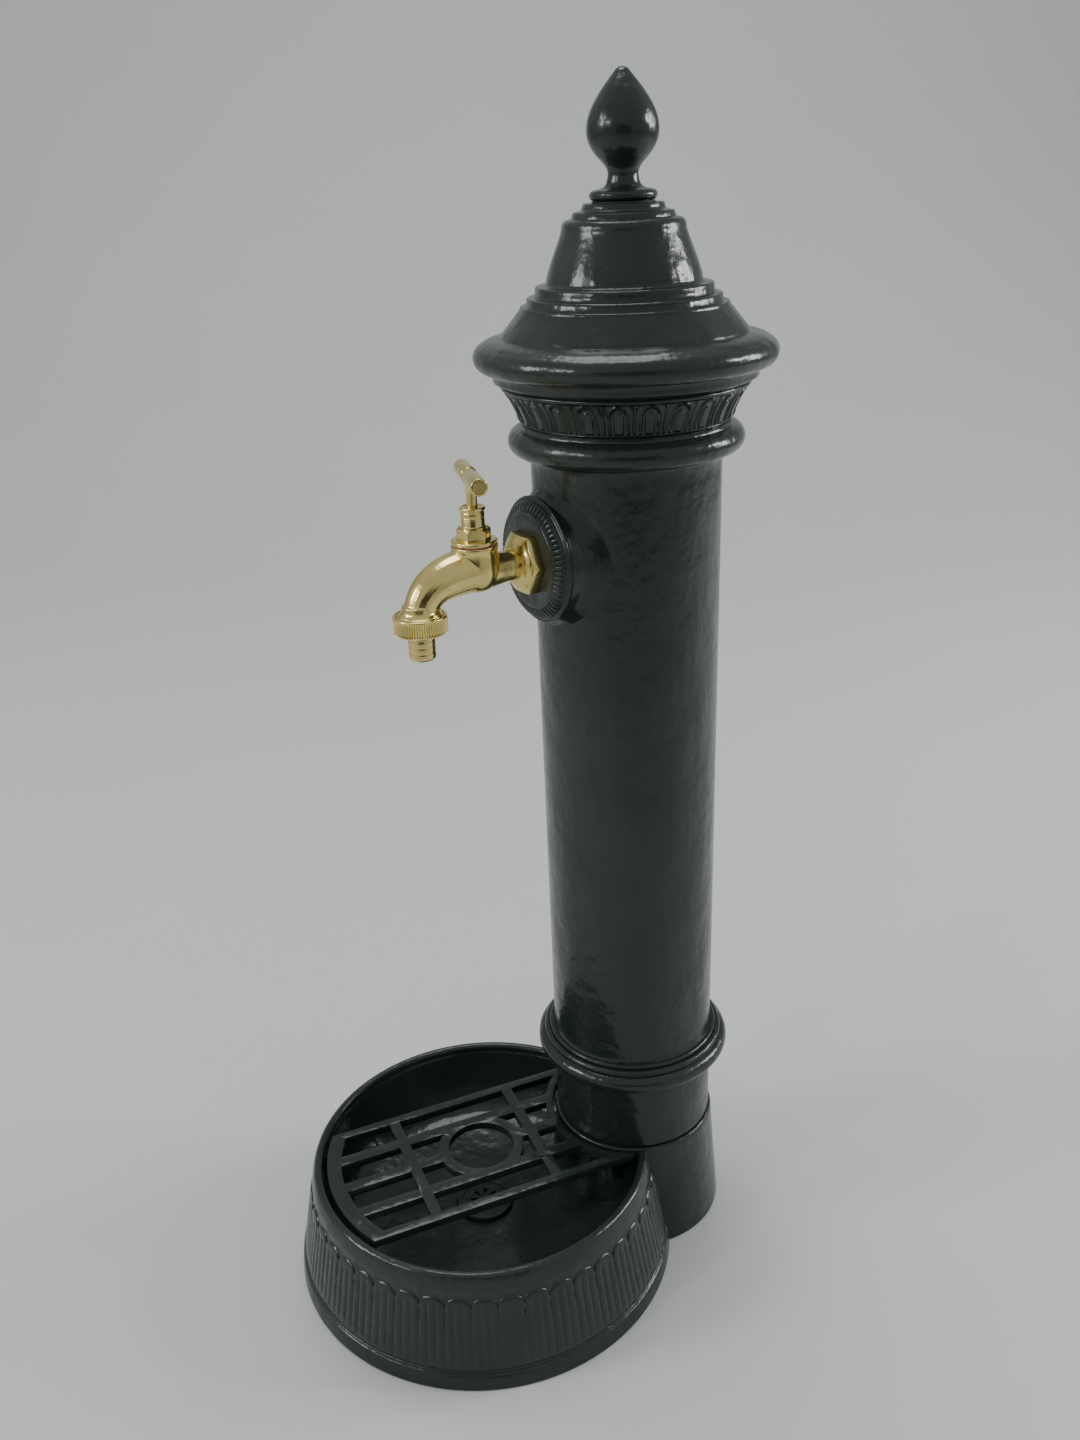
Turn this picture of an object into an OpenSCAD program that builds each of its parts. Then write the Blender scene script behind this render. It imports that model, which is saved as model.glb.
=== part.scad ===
// Cast-iron column drinking fountain with a brass bib tap.
// Millimetres, +Z up. The column axis is Z, the ground is z = 0 and the basin lies towards -Y.

/* [Basin] */
// Distance from the column axis to the basin axis
basin_offset = 117.2; // [113:0.1:140]
// Outer radius of the basin rim
rim_r = 115.3; // [108:0.1:119]
// Outer radius of the basin foot
foot_r = 130.2; // [122:0.1:136]
// Height of the basin rim
rim_h = 80.2; // [67:0.1:98]
// Width of the rim lip
lip_w = 6.3; // [4.5:0.1:8]
// Wall thickness of the base casting
base_wall = 6; // [5:0.5:7]
// Height of the bowl floor above the ground
floor_h = 29; // [27:0.5:33]
// Radius of the flat part of the bowl floor
floor_r = 56; // [44:1:62]

/* [Pedestal] */
// Radius of the pedestal at the ground
ped_foot_r = 61.2; // [58:0.1:66]
// Radius of the pedestal at the seam
ped_top_r = 55.6; // [55:0.1:60]
// Height of the seat flange that carries the column
seat_t = 8.7; // [7:0.1:12]
// Radius of the opening in the seat flange
seat_hole_r = 31; // [27:0.5:33]
// Thickness of the gasket in the seam
gasket_t = 0.8; // [0.5:0.1:2]

/* [Column] */
// Height of the column casting
column_h = 485.1; // [400:0.1:600]
// Radius of the plinth under the lower collar
plinth_r = 54; // [52.5:0.1:54.8]
// Radius of the tube above the lower collar
tube_low_r = 54.1; // [53:0.1:55]
// Radius of the tube under the upper collar
tube_top_r = 55.5; // [54:0.1:58]
// Bore of the column
bore_r = 48; // [45:0.1:49]
// Turn of the column on its base, in degrees
column_turn = 8; // [-20:1:20]
// Height of the lower collar's big ring above the column's foot
collar_h = 58.7; // [50:0.1:80]

/* [Boss and rosette] */
// Depth of the tap axis below the column's top
tap_drop = 73; // [64:0.1:95]
// Radius of the boss
boss_r = 35.3; // [33:0.1:38]
// Distance of the rosette face from the column axis
face_s = 68.5; // [65:0.5:76]
// Radius of the flat face of the rosette
face_r = 26.8; // [24:0.1:29]

/* [Cap] */
// Height of the cap casting
cap_h = 114.8; // [95:0.1:138]
// Radius of the cap's brim
brim_r = 85.8; // [82:0.1:98]
// Depth of the spigot that locates the cap in the column
spigot_h = 15; // [10:0.5:20]
// Wall thickness of the cap
cap_wall = 5.5; // [4.5:0.5:6.5]
// Number of arches in the frieze
arch_count = 24; // [16:1:32]

/* [Finial] */
// Height of the finial above its washer
finial_h = 64.8; // [54:0.1:78]
// Largest radius of the bud
bud_r = 19.4; // [16:0.1:25]
// Thickness of the finial washer
finial_washer_t = 0.7; // [0.5:0.1:2]
// Radius of the finial stud
stud_r = 5; // [4:0.5:6]
// Length of thread that the stud has in the cap
stud_grip = 12; // [8:0.5:14]

/* [Grate] */
// Half the width of the grate
grate_half_w = 53; // [48:0.1:56]
// Thickness of the grate
grate_t = 5.4; // [4.5:0.1:7]
// Depth of the grate's top below the rim
grate_sink = 0.2; // [0:0.1:2]
// Gap between the grate's front end and the rim lip
grate_gap = 3; // [2.5:0.1:6]
// Gap between the grate's rear end and the pedestal
grate_rear_gap = 2.2; // [1:0.1:4]
// Width of the three long bars
bar_w = 8.1; // [6.5:0.1:10]
// Width of the two cross bars
cross_w = 7.3; // [5.5:0.1:10]
// Width of the border along the straight sides
side_w = 6.1; // [4.5:0.1:8]
// Radius of the round hole under the tap
ring_hole_r = 22.5; // [18:0.1:24]
// Width of the ring around that hole
ring_w = 6.9; // [5.5:0.1:8]

/* [Tap] */
// Thread radius of the reducing bush in the boss
bush_thread_r = 13.2; // [12.5:0.1:14]
// Thread radius of the tap's inlet
inlet_thread_r = 10.4; // [9.5:0.1:10.8]
// Distance across the flats of the bush's hexagon
bush_af = 33; // [32:0.5:37]
// Length of the bush's hexagon
bush_hex_l = 6.9; // [5.5:0.1:9]
// Distance of the spindle axis from the rosette face
spindle_reach = 33.7; // [32:0.1:40]
// Distance of the outlet axis from the rosette face
outlet_reach = 70.1; // [66:0.1:84]
// Depth of the outlet's end below the tap axis
outlet_drop = 21.5; // [19.5:0.1:32]
// Outer radius of the body at the bonnet joint
throat_r = 13.3; // [12.5:0.1:15]
// Outer radius of the spout tube
spout_r = 9.7; // [9:0.1:10.5]
// Radius of the spindle
spindle_r = 3; // [2.5:0.1:3.5]
// Height of the T-bar's axis above the tap axis
bar_lift = 53.7; // [50:0.1:64]
// Length of the T-bar
bar_len = 55; // [42:1:66]
// Radius of the T-bar
bar_r = 4.75; // [4.1:0.05:6]
// Turn of the closed T-bar against the tap, in degrees
bar_turn = -18; // [-90:1:90]
// Distance that the washer rises from its seat
valve_lift = 3.5; // [2:0.1:3.6]

/* [Hose union] */
// Outer radius of the union nut
union_r = 15.2; // [14.8:0.1:18]
// Height of the union nut
union_h = 10.2; // [9:0.1:14]
// Thread radius of the tap's outlet
outlet_thread_r = 13.2; // [12.8:0.1:13.4]
// Radius of the hose tail
tail_r = 7.75; // [6.8:0.05:8.5]
// Length of the hose tail below the union nut
tail_l = 15.5; // [13:0.5:30]

/* [Water supply] */
// Outer radius of the riser pipe
riser_r = 10.45; // [9:0.05:10.8]
// Bore of the riser pipe
riser_bore_r = 8; // [6:0.1:8.5]
// Height of the inlet coupling
coupling_h = 36; // [30:1:44]
// Height of the pipe clip above the column's foot
clip_h = 235; // [160:5:300]

/* [Waste] */
// Thread radius of the waste's tail
waste_r = 13.2; // [12:0.1:14]
// Radius of the waste's flange
waste_flange_r = 19; // [18:0.5:21]

/* [Fixings] */
// Radius of the column bolts
bolt_r = 4; // [3:0.5:4]
// Radius of the circle on which the column bolts stand
bolt_circle_r = 40; // [39.5:0.1:40.5]
// Radius of the tapped holes for the ground studs
anchor_r = 4.25; // [3.4:0.05:5.1]
// Radius of the circle on which the ground studs stand
anchor_circle_r = 107; // [105:0.5:110]
// Depth of the tapped holes for the ground studs
anchor_depth = 20; // [15:1:24]

/* [Hidden] */

$fn = 64;
enamel = "#26352f";
brass = "#d6b25a";
rubber = "#2b2b2b";
fibre = "#8c4a34";
steel = "#a9adb0";

fit = 0.05;          // running clearance of pins, threads and bores
rest_gap = 0.05;     // clearance under a piece that rests on another body
cut = 1;             // how far a cutting tool runs past a face
tooth_gap = 0.3;     // gap between curved faces that pass each other

ped_h = rim_h + 0.5;
column_z = ped_h + gasket_t;
column_top = column_z + column_h;
collar_z = column_z + collar_h;
tap_z = column_top - tap_drop;
cap_top = column_top + cap_h;
finial_z = cap_top + finial_washer_t;
bowl_r = rim_r - lip_w;
grate_top = rim_h - grate_sink;
grate_low = grate_top - grate_t;
grate_r = bowl_r - grate_gap;
spindle_s = face_s + spindle_reach;
outlet_s = face_s + outlet_reach;
outlet_z = tap_z - outlet_drop;
bar_z = tap_z + bar_lift;
pad_s = bore_r - 4.4;            // face of the pad behind the boss
waste_floor = floor_h - 1.5;     // bottom of the recess for the waste's flange

// ---------- helpers ----------

// Points of an arc in a profile: centre, radius, first and last angle, number of steps
function arc(c, r, a0, a1, steps) = [for (i = [0 : steps]) let (a = a0 + (a1 - a0) * i / steps)
    [c[0] + r * cos(a), c[1] + r * sin(a)]];

// Points of a cubic curve between p0 and p3, without its first point
function curve(p0, p1, p2, p3, steps) = [for (i = [1 : steps]) let (t = i / steps, u = 1 - t)
    u * u * u * p0 + 3 * u * u * t * p1 + 3 * u * t * t * p2 + t * t * t * p3];

// One point of a cubic curve
function along(p, t) = pow(1 - t, 3) * p[0] + 3 * pow(1 - t, 2) * t * p[1]
    + 3 * (1 - t) * t * t * p[2] + pow(t, 3) * p[3];

// Puts its children into the turned frame of the column
module turned() {
    rotate([0, 0, column_turn]) children();
}

// Lays a shape built along +Z on the tap's axis, with its foot s in front of the column axis
module on_tap_axis(s) {
    translate([0, -s, tap_z]) rotate([90, 0, 0]) children();
}

module tube(r, bore, h) {
    difference() {
        cylinder(r = r, h = h);
        translate([0, 0, -cut]) cylinder(r = bore, h = h + 2 * cut);
    }
}

module hexagon(af, h) {
    cylinder(r = af / 2 / cos(30), h = h, $fn = 6);
}

// Hexagon whose corners are chamfered at the top
module chamfered_hexagon(af, h, chamfer) {
    corner = af / 2 / cos(30);
    intersection() {
        hexagon(af, h);
        union() {
            cylinder(r = corner + cut, h = h - chamfer);
            translate([0, 0, h - chamfer]) cylinder(r1 = corner, r2 = corner - chamfer * 1.7, h = chamfer);
        }
    }
}

module on_circle(r, count, start = 0) {
    for (i = [0 : count - 1]) rotate([0, 0, start + i * 360 / count]) translate([r, 0, 0]) children();
}

// Solid swept along a cubic path in the plane x = 0; radii come from the same kind of curve
module swept(path, radii, rings, sides) {
    points = [for (i = [0 : rings]) let (
            t = i / rings,
            here = along(path, t),
            ahead = along(path, min(t + 0.01, 1)) - along(path, max(t - 0.01, 0)),
            d = ahead / norm(ahead),
            r = along(radii, t))
        for (j = [0 : sides - 1]) let (a = j * 360 / sides)
        [r * cos(a), here[0] - r * sin(a) * d[1], here[1] + r * sin(a) * d[0]]];
    walls = [for (i = [0 : rings - 1]) for (j = [0 : sides - 1])
        let (k = (j + 1) % sides) [i * sides + j, i * sides + k, (i + 1) * sides + k, (i + 1) * sides + j]];
    first = [[for (j = [0 : sides - 1]) sides - 1 - j]];
    last = [[for (j = [0 : sides - 1]) rings * sides + j]];
    polyhedron(points = points, faces = concat(first, walls, last), convexity = 6);
}

// ---------- base ----------

foot_band = 10;       // height of the plain band at the basin's foot
bead_r = 1;           // radius of the beads above that band
bowl_draw = 2;        // how far the bowl's wall leans in below the lip

function wall_r(z) = foot_r + (rim_r - foot_r) * z / rim_h;

// Solid of the basin before it is hollowed
module basin_solid() {
    lip = lip_w / 2;
    rotate_extrude($fn = 128) polygon(concat(
        [[0, 0], [foot_r, 0], [wall_r(foot_band), foot_band]],
        arc([wall_r(foot_band + bead_r) - 0.4, foot_band + bead_r], bead_r, -60, 60, 4),
        arc([wall_r(foot_band + 3 * bead_r) - 0.4, foot_band + 3 * bead_r], bead_r, -60, 60, 4),
        [[wall_r(foot_band + 4 * bead_r) - 0.6, foot_band + 4 * bead_r + 0.2]],
        arc([rim_r - lip, rim_h - lip], lip, 0, 90, 8), [[0, rim_h]]));
}

// Wet side of the bowl
module bowl() {
    lip = lip_w / 2;
    rotate_extrude($fn = 128) polygon(concat(
        [[0, floor_h], [floor_r, floor_h]],
        curve([floor_r, floor_h], [floor_r + 30, floor_h + 1], [bowl_r - 6, floor_h + 8],
            [bowl_r - bowl_draw, rim_h - 18], 8),
        [[bowl_r, rim_h - lip_w]], arc([rim_r - lip, rim_h - lip], lip, 180, 90, 6),
        [[rim_r - lip, rim_h + cut], [0, rim_h + cut]]));
}

// Hollow under the bowl
module basin_underside() {
    wall = base_wall;
    top = rim_h - 28;
    rotate_extrude($fn = 128) polygon([[0, -cut], [foot_r - wall, -cut], [wall_r(top) - wall, top],
        [bowl_r - bowl_draw + wall - 1.4, top], [bowl_r - 1.5, floor_h + 14], [bowl_r - 13, floor_h + 3],
        [floor_r + 22, floor_h - wall + 2], [floor_r, floor_h - wall], [0, floor_h - wall]]);
}

anchor_boss_r = anchor_r + 5;

module anchor_posts() {
    on_circle(anchor_circle_r, 4, 45) translate([0, 0, -2 * cut]) cylinder(r = anchor_boss_r, h = rim_h);
}

module pedestal() {
    edge = 1.5;
    rotate_extrude($fn = 128) polygon([[0, 0], [ped_foot_r, 0],
        [ped_top_r + 0.4, ped_h - 12], [ped_top_r, ped_h - edge], [ped_top_r - edge, ped_h], [0, ped_h]]);
}

grate_lug_r = 6;
front_lug_angle = 24;   // of the front lugs from the centre line, about the basin axis
rear_lug_angle = 50;    // of the rear lugs from the centre line, about the column axis

// Lugs in the bowl on which the grate lies
module grate_lugs() {
    lug_h = 14;
    lug_z = grate_low - rest_gap - lug_h;
    for (side = [-1, 1]) {
        translate([0, -basin_offset, lug_z]) rotate([0, 0, -90 + side * front_lug_angle])
            translate([bowl_r - grate_lug_r + 1, 0, 0]) cylinder(r = grate_lug_r, h = lug_h);
        rotate([0, 0, -90 + side * rear_lug_angle]) translate([ped_top_r + 2.5, 0, lug_z])
            cylinder(r = grate_lug_r, h = lug_h);
    }
}

module base_casting() {
    color(enamel) difference() {
        union() {
            translate([0, -basin_offset, 0]) difference() {
                basin_solid();
                bowl();
                difference() {
                    basin_underside();
                    anchor_posts();
                }
            }
            pedestal();
            grate_lugs();
        }
        // chamber of the pedestal, under the seat flange
        translate([0, 0, -cut]) cylinder(r = ped_top_r - base_wall, h = ped_h - seat_t + cut);
        translate([0, 0, ped_h - seat_t - cut]) cylinder(r = seat_hole_r, h = seat_t + 2 * cut);
        turned() on_circle(bolt_circle_r, 4, 45) translate([0, 0, ped_h - seat_t - cut])
            cylinder(r = bolt_r + 0.5, h = seat_t + 2 * cut);
        translate([0, -basin_offset, 0]) {
            // seat and hole of the waste
            translate([0, 0, waste_floor]) cylinder(r = waste_flange_r + 0.5, h = base_wall);
            translate([0, 0, -cut]) cylinder(r = waste_r + 0.3, h = floor_h + cut);
            on_circle(anchor_circle_r, 4, 45) translate([0, 0, -cut]) cylinder(r = anchor_r, h =
                anchor_depth + cut);
        }
    }
}

// ---------- column ----------

gasket_inset = 1.6;     // how far the gasket stays behind the column's face

module seat_gasket() {
    color(rubber) turned() translate([0, 0, ped_h]) difference() {
        tube(plinth_r - gasket_inset, seat_hole_r, gasket_t);
        on_circle(bolt_circle_r, 4, 45) translate([0, 0, -cut]) cylinder(r = bolt_r + 0.5, h =
            gasket_t + 2 * cut);
    }
}

washer_t = 1.6;
column_foot_t = 12;

module column_bolts() {
    head_h = 5.3;
    head_z = ped_h - seat_t - washer_t - head_h;
    color(steel) turned() on_circle(bolt_circle_r, 4, 45) translate([0, 0, head_z]) {
        hexagon(bolt_r * 3.25, head_h);
        cylinder(r = bolt_r, h = head_h + washer_t + seat_t + gasket_t + column_foot_t - 2);
    }
}

module bolt_washers() {
    color(steel) turned() on_circle(bolt_circle_r, 4, 45) translate([0, 0, ped_h - seat_t - washer_t])
        tube(bolt_r * 2, bolt_r + fit, washer_t);
}

upper_ring_drop = 10.2;  // depth of the upper ring's centre below the column's top
upper_ring_r = 7.5;      // radius of the upper ring's section
lower_ring_r = 6;        // radius of the lower ring's section

// Outline of the column's skin, with round rings where the collars are
module column_outline() {
    upper_z = column_top - upper_ring_drop;
    difference() {
        union() {
            polygon([[0, column_z], [plinth_r, column_z], [plinth_r, collar_z - 10.2], [plinth_r +
                4.9, collar_z - 4.4],
                [tube_low_r, collar_z + 12.6], [tube_top_r, upper_z - 16], [tube_top_r + 0.2, upper_z - 11.2],
                [tube_top_r + 3.7, upper_z - 6.4], [tube_top_r + 5.6, column_top], [0, column_top]]);
            translate([tube_low_r + 5.4, collar_z]) circle(r = lower_ring_r, $fn = 48);
            translate([tube_low_r + 4.7, collar_z + 7]) circle(r = 2.5, $fn = 32);
            translate([tube_low_r + 1.7, collar_z + 9.8]) circle(r = 2, $fn = 32);
            translate([tube_top_r + 5.1, upper_z]) circle(r = upper_ring_r, $fn = 48);
        }
        square([bore_r, column_top + cut]);
    }
}

// Solid of the boss: a straight drum that spreads where it meets the tube, and the rosette
module boss_body() {
    rim_s = face_s - 5;         // front of the rosette's rim
    spread_s = bore_r + 5.5;    // where the drum starts to spread
    root_s = bore_r - 10;
    on_tap_axis(root_s) cylinder(r1 = boss_r + 6.6, r2 = boss_r, h = spread_s - root_s);
    on_tap_axis(spread_s - cut) cylinder(r = boss_r, h = rim_s - 2.4 - spread_s + cut);
    on_tap_axis(rim_s - 3) cylinder(r = boss_r + 0.9, h = 3);
    on_tap_axis(rim_s - cut / 2) cylinder(r1 = boss_r - 0.5, r2 = face_r, h = face_s - rim_s + cut / 2);
}

// Drum inside the tube, behind the boss, on which the back nut seats
module boss_pad() {
    intersection() {
        on_tap_axis(pad_s) cylinder(r = 26, h = 12);
        cylinder(r = bore_r + 2, h = column_top);
    }
}

module column_foot() {
    translate([0, 0, column_z]) tube(bore_r + 1, seat_hole_r, column_foot_t);
}

clip_lug_s = 34;    // distance of the clip lug's face from the column axis

module clip_lug() {
    intersection() {
        translate([0, clip_lug_s, column_z + clip_h]) rotate([-90, 0, 0]) cylinder(r = 9, h = bore_r
            - clip_lug_s + 2);
        cylinder(r = bore_r + 2, h = column_top);
    }
}

module column() {
    color(enamel) turned() difference() {
        union() {
            rotate_extrude($fn = 128) column_outline();
            difference() {
                boss_body();
                cylinder(r = bore_r, h = column_top);
            }
            boss_pad();
            column_foot();
            clip_lug();
        }
        on_tap_axis(pad_s - cut) cylinder(r = bush_thread_r + fit, h = face_s - pad_s + 2 * cut);
        on_circle(bolt_circle_r, 4, 45) translate([0, 0, column_z - cut])
            cylinder(r = bolt_r + fit, h = column_foot_t + 2 * cut);
        translate([0, clip_lug_s - cut, column_z + clip_h]) rotate([-90, 0, 0]) cylinder(r = bolt_r +
            fit, h = 8 + cut);
    }
}

// ---------- cap and finial ----------

brim_tube_r = 7.5;       // radius of the brim's section
frieze_h = 18.7;
brim_h = 36.7;           // height of the brim's centre above the cap's foot
dome_low_r = 43.2;       // radius of the cone's foot
dome_top_r = 34.2;

// Outer outline of the cap, from its foot up; heights follow the cap's height
module cap_outline() {
    k = cap_h / 114.8;
    z = column_top;
    polygon([[0, z], [tube_top_r + 5, z], [tube_top_r + 6.3, z + 5.9 * k], [tube_top_r + 9.2, z + 12.3 * k],
        [tube_top_r + 13.5, z + frieze_h * k], [tube_top_r + 15.1, z + 20.3 * k], [tube_top_r + 19.4,
            z + 23.5 * k],
        [brim_r - brim_tube_r - 1, z + brim_h * k - brim_tube_r + 0.6],
        [brim_r - brim_tube_r, z + brim_h * k + brim_tube_r - 0.2],
        [69.3, z + 47 * k], [66.2, z + 51 * k], [61.2, z + 57.7 * k], [58.6, z + 61 * k],
        [54.4, z + 62.6 * k], [53.8, z + 66.4 * k], [49.4, z + 68.8 * k], [48.8, z + 72.4 * k],
        [dome_low_r + 1.2, z + 73.9 * k], [dome_low_r, z + 75 * k], [dome_top_r, z + 101.9 * k],
        [32.6, z + 105.9 * k], [27.9, z + 107 * k], [27.4, z + 110 * k], [22.8, z + 110.9 * k],
        [21.7, z + cap_h * k / k], [0, z + cap_h]]);
    translate([brim_r - brim_tube_r, z + brim_h * k]) circle(r = brim_tube_r, $fn = 48);
    for (ring = [[52.6, 64.5, 2], [47.6, 70.6, 1.8], [26, 108.5, 1.4]])
        translate([ring[0], z + ring[1] * k]) circle(r = ring[2], $fn = 32);
}

// Hollow of the cap
module cap_hollow() {
    k = cap_h / 114.8;
    z = column_top;
    w = cap_wall;
    spigot_bore = bore_r - tooth_gap - w;
    polygon([[0, z - spigot_h - cut], [spigot_bore, z - spigot_h - cut], [spigot_bore, z + 2],
        [tube_top_r + 14.4 - w, z + 26 * k], [brim_r - brim_tube_r - w, z + brim_h * k],
        [64.4 - w, z + 50 * k], [46.8 - w, z + 68 * k], [dome_low_r - w, z + 75 * k],
        [dome_top_r - w - 1, z + 101.9 * k - w], [0, z + 101.9 * k - w]]);
}

flute_r = 3.8;          // radius of the flutes that leave the arches standing

module frieze_flutes() {
    k = cap_h / 114.8;
    tilt = atan2(13.5 - 5, frieze_h * k);
    on_circle(tube_top_r + 5 + flute_r - 0.8, arch_count) translate([0, 0, column_top + 1.1])
        rotate([0, tilt, 0])
        cylinder(r = flute_r, h = (frieze_h - 2.2) * k, $fn = 24);
}

module cap() {
    boss_h = stud_grip + 4;
    color(enamel) turned() difference() {
        union() {
            rotate_extrude($fn = 128) difference() {
                cap_outline();
                cap_hollow();
            }
            translate([0, 0, column_top - spigot_h])
                tube(bore_r - tooth_gap, bore_r - tooth_gap - cap_wall, spigot_h + 3);
            translate([0, 0, cap_top - boss_h]) cylinder(r = stud_r + 5, h = boss_h - 2);
        }
        frieze_flutes();
        translate([0, 0, cap_top - boss_h - cut]) cylinder(r = stud_r + fit, h = boss_h + 2 * cut);
    }
}

module finial_washer() {
    color(rubber) turned() translate([0, 0, cap_top]) tube(17.2, stud_r + fit, finial_washer_t);
}

finial_bore_h = 14;

// Outline of the finial: disc, flare, neck and bud
function finial_outline() = let (z = finial_z, k = finial_h / 64.8, w = bud_r / 19.4) concat(
    [[0, z]], arc([15.6, z + 2.9], 2.9, -90, 90, 8),
    [[10.6, z + 7 * k], [9.1, z + 8.9 * k]],
    curve([9.1, z + 8.9 * k], [7.8, z + 12.4 * k], [7.6, z + 14.6 * k], [9.4 * w, z + 16.9 * k], 5),
    curve([9.4 * w, z + 16.9 * k], [14 * w, z + 21.6 * k], [bud_r, z + 26.6 * k], [bud_r, z + 34.9 * k], 8),
    curve([bud_r, z + 34.9 * k], [bud_r, z + 45.4 * k], [11.2 * w, z + 55.6 * k], [3.7 * w, z + 62.9
        * k], 12),
    [[0, z + finial_h]]);

module finial() {
    color(enamel) turned() difference() {
        rotate_extrude($fn = 64) polygon(finial_outline());
        translate([0, 0, finial_z - cut]) cylinder(r = stud_r + fit, h = finial_bore_h + cut);
    }
}

module finial_stud() {
    stud_l = stud_grip + finial_washer_t + finial_bore_h - 0.5;
    color(steel) turned() translate([0, 0, cap_top - stud_grip]) cylinder(r = stud_r, h = stud_l);
}

// ---------- grate ----------

front_border = 9.7;       // width of the border at the front end
rear_border = 5.3;
front_cross_y = -48.4;    // places of the two cross bars from the basin axis
rear_cross_y = 36.9;

// Long slots between the bars, cut to the stretch between y0 and y1 from the basin axis
module grate_rows(y0, y1, rows) {
    row_w = (2 * grate_half_w - 2 * side_w - 3 * bar_w) / 4;
    for (i = rows) translate([-grate_half_w + side_w + i * (row_w + bar_w), y0]) square([row_w, y1 - y0]);
}

module grate_plan() {
    rear_r = ped_top_r + grate_rear_gap;
    difference() {
        intersection() {
            circle(r = grate_r, $fn = 96);
            square([2 * grate_half_w, 2 * grate_r], center = true);
        }
        translate([0, basin_offset]) circle(r = rear_r, $fn = 96);
        difference() {
            intersection() {
                circle(r = grate_r - front_border, $fn = 96);
                union() {
                    grate_rows(-grate_r, front_cross_y - cross_w / 2, [0 : 3]);
                    grate_rows(front_cross_y + cross_w / 2, rear_cross_y - cross_w / 2, [0 : 3]);
                    grate_rows(rear_cross_y + cross_w / 2, grate_r, [0 : 3]);
                }
            }
            circle(r = ring_hole_r + ring_w, $fn = 96);
            translate([0, basin_offset]) circle(r = rear_r + rear_border, $fn = 96);
        }
        circle(r = ring_hole_r, $fn = 96);
    }
}

module grate() {
    color(enamel) translate([0, -basin_offset, grate_low]) linear_extrude(grate_t) grate_plan();
}

// ---------- waste ----------

waste_flange_t = 3;
waste_gasket_t = 1.2;

waste_thread_l = floor_h - base_wall - 9;    // free thread for the drain, just short of the nut

module waste_body() {
    bridge_w = 4;
    flange_z = waste_floor + waste_gasket_t;
    color(enamel) translate([0, -basin_offset, 0]) difference() {
        union() {
            translate([0, 0, flange_z]) cylinder(r = waste_flange_r, h = waste_flange_t);
            translate([0, 0, 2]) cylinder(r = waste_r, h = waste_thread_l);
            translate([0, 0, 2]) cylinder(r = waste_r - 0.4, h = flange_z - 1);
        }
        difference() {
            translate([0, 0, 2 - cut]) cylinder(r = waste_r - 2.4, h = flange_z + waste_flange_t);
            translate([-waste_r, -bridge_w, flange_z - 4]) cube([2 * waste_r, 2 * bridge_w, 5]);
        }
        translate([0, 0, flange_z + 1]) cylinder(r = waste_flange_r - 3, h = waste_flange_t);
        translate([0, 0, flange_z - 4 - cut]) cylinder(r = 2 + fit, h = 5 + 2 * cut);
    }
}

module waste_gasket() {
    color(rubber) translate([0, -basin_offset, waste_floor]) tube(waste_flange_r - 0.3, waste_r +
        fit, waste_gasket_t);
}

module waste_nut() {
    color(brass) translate([0, -basin_offset, floor_h - base_wall - 6.5]) difference() {
        hexagon(2 * waste_r + 8, 6.5);
        translate([0, 0, -cut]) cylinder(r = waste_r + fit, h = 6.5 + 2 * cut);
    }
}

strainer_z = waste_floor + waste_gasket_t + 1;

module strainer() {
    slot_count = 8;
    color(enamel) translate([0, -basin_offset, strainer_z]) difference() {
        cylinder(r = waste_flange_r - 3.2, h = 1.6);
        translate([0, 0, -cut]) cylinder(r = 2 + fit, h = 1.6 + 2 * cut);
        for (i = [0 : slot_count - 1]) rotate([0, 0, (i + 0.5) * 360 / slot_count]) translate([5, -1.2, -cut])
            cube([waste_r - 8, 2.4, 1.6 + 2 * cut]);
    }
}

module strainer_screw() {
    color(enamel) translate([0, -basin_offset, strainer_z - 5]) {
        cylinder(r = 2, h = 7);
        translate([0, 0, 6.6]) cylinder(r1 = 3.9, r2 = 2.8, h = 1.6);
    }
}

// ---------- water supply ----------

nut_t = 6;
nipple_in_elbow = 13;
elbow_mouth_s = riser_r + 13.55;    // where the elbow's level socket ends
elbow_drop = 24;         // how far the elbow's lower socket reaches down
bush_inner_s = pad_s - nut_t - 1;

module reducing_bush() {
    web_s = face_s - 16;
    color(brass) turned() difference() {
        union() {
            on_tap_axis(bush_inner_s) cylinder(r = bush_thread_r, h = face_s - bush_inner_s + cut / 2);
            on_tap_axis(face_s) chamfered_hexagon(bush_af, bush_hex_l, 2);
        }
        on_tap_axis(web_s) cylinder(r = inlet_thread_r + fit, h = 16 + bush_hex_l + cut);
        on_tap_axis(bush_inner_s - cut) cylinder(r = riser_r + fit, h = web_s - 2 - bush_inner_s + cut);
        on_tap_axis(bush_inner_s) cylinder(r = 7, h = face_s - bush_inner_s);
    }
}

module back_nut() {
    color(brass) turned() on_tap_axis(pad_s - nut_t) difference() {
        hexagon(bush_thread_r * 2 + 7, nut_t);
        translate([0, 0, -cut]) cylinder(r = bush_thread_r + fit, h = nut_t + 2 * cut);
    }
}

nipple_end_s = face_s - 16 - 2 - 0.5;    // just short of the bush's web

module barrel_nipple() {
    start_s = elbow_mouth_s - nipple_in_elbow;
    color(steel) turned() on_tap_axis(start_s) tube(riser_r, riser_bore_r, nipple_end_s - start_s);
}

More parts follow.
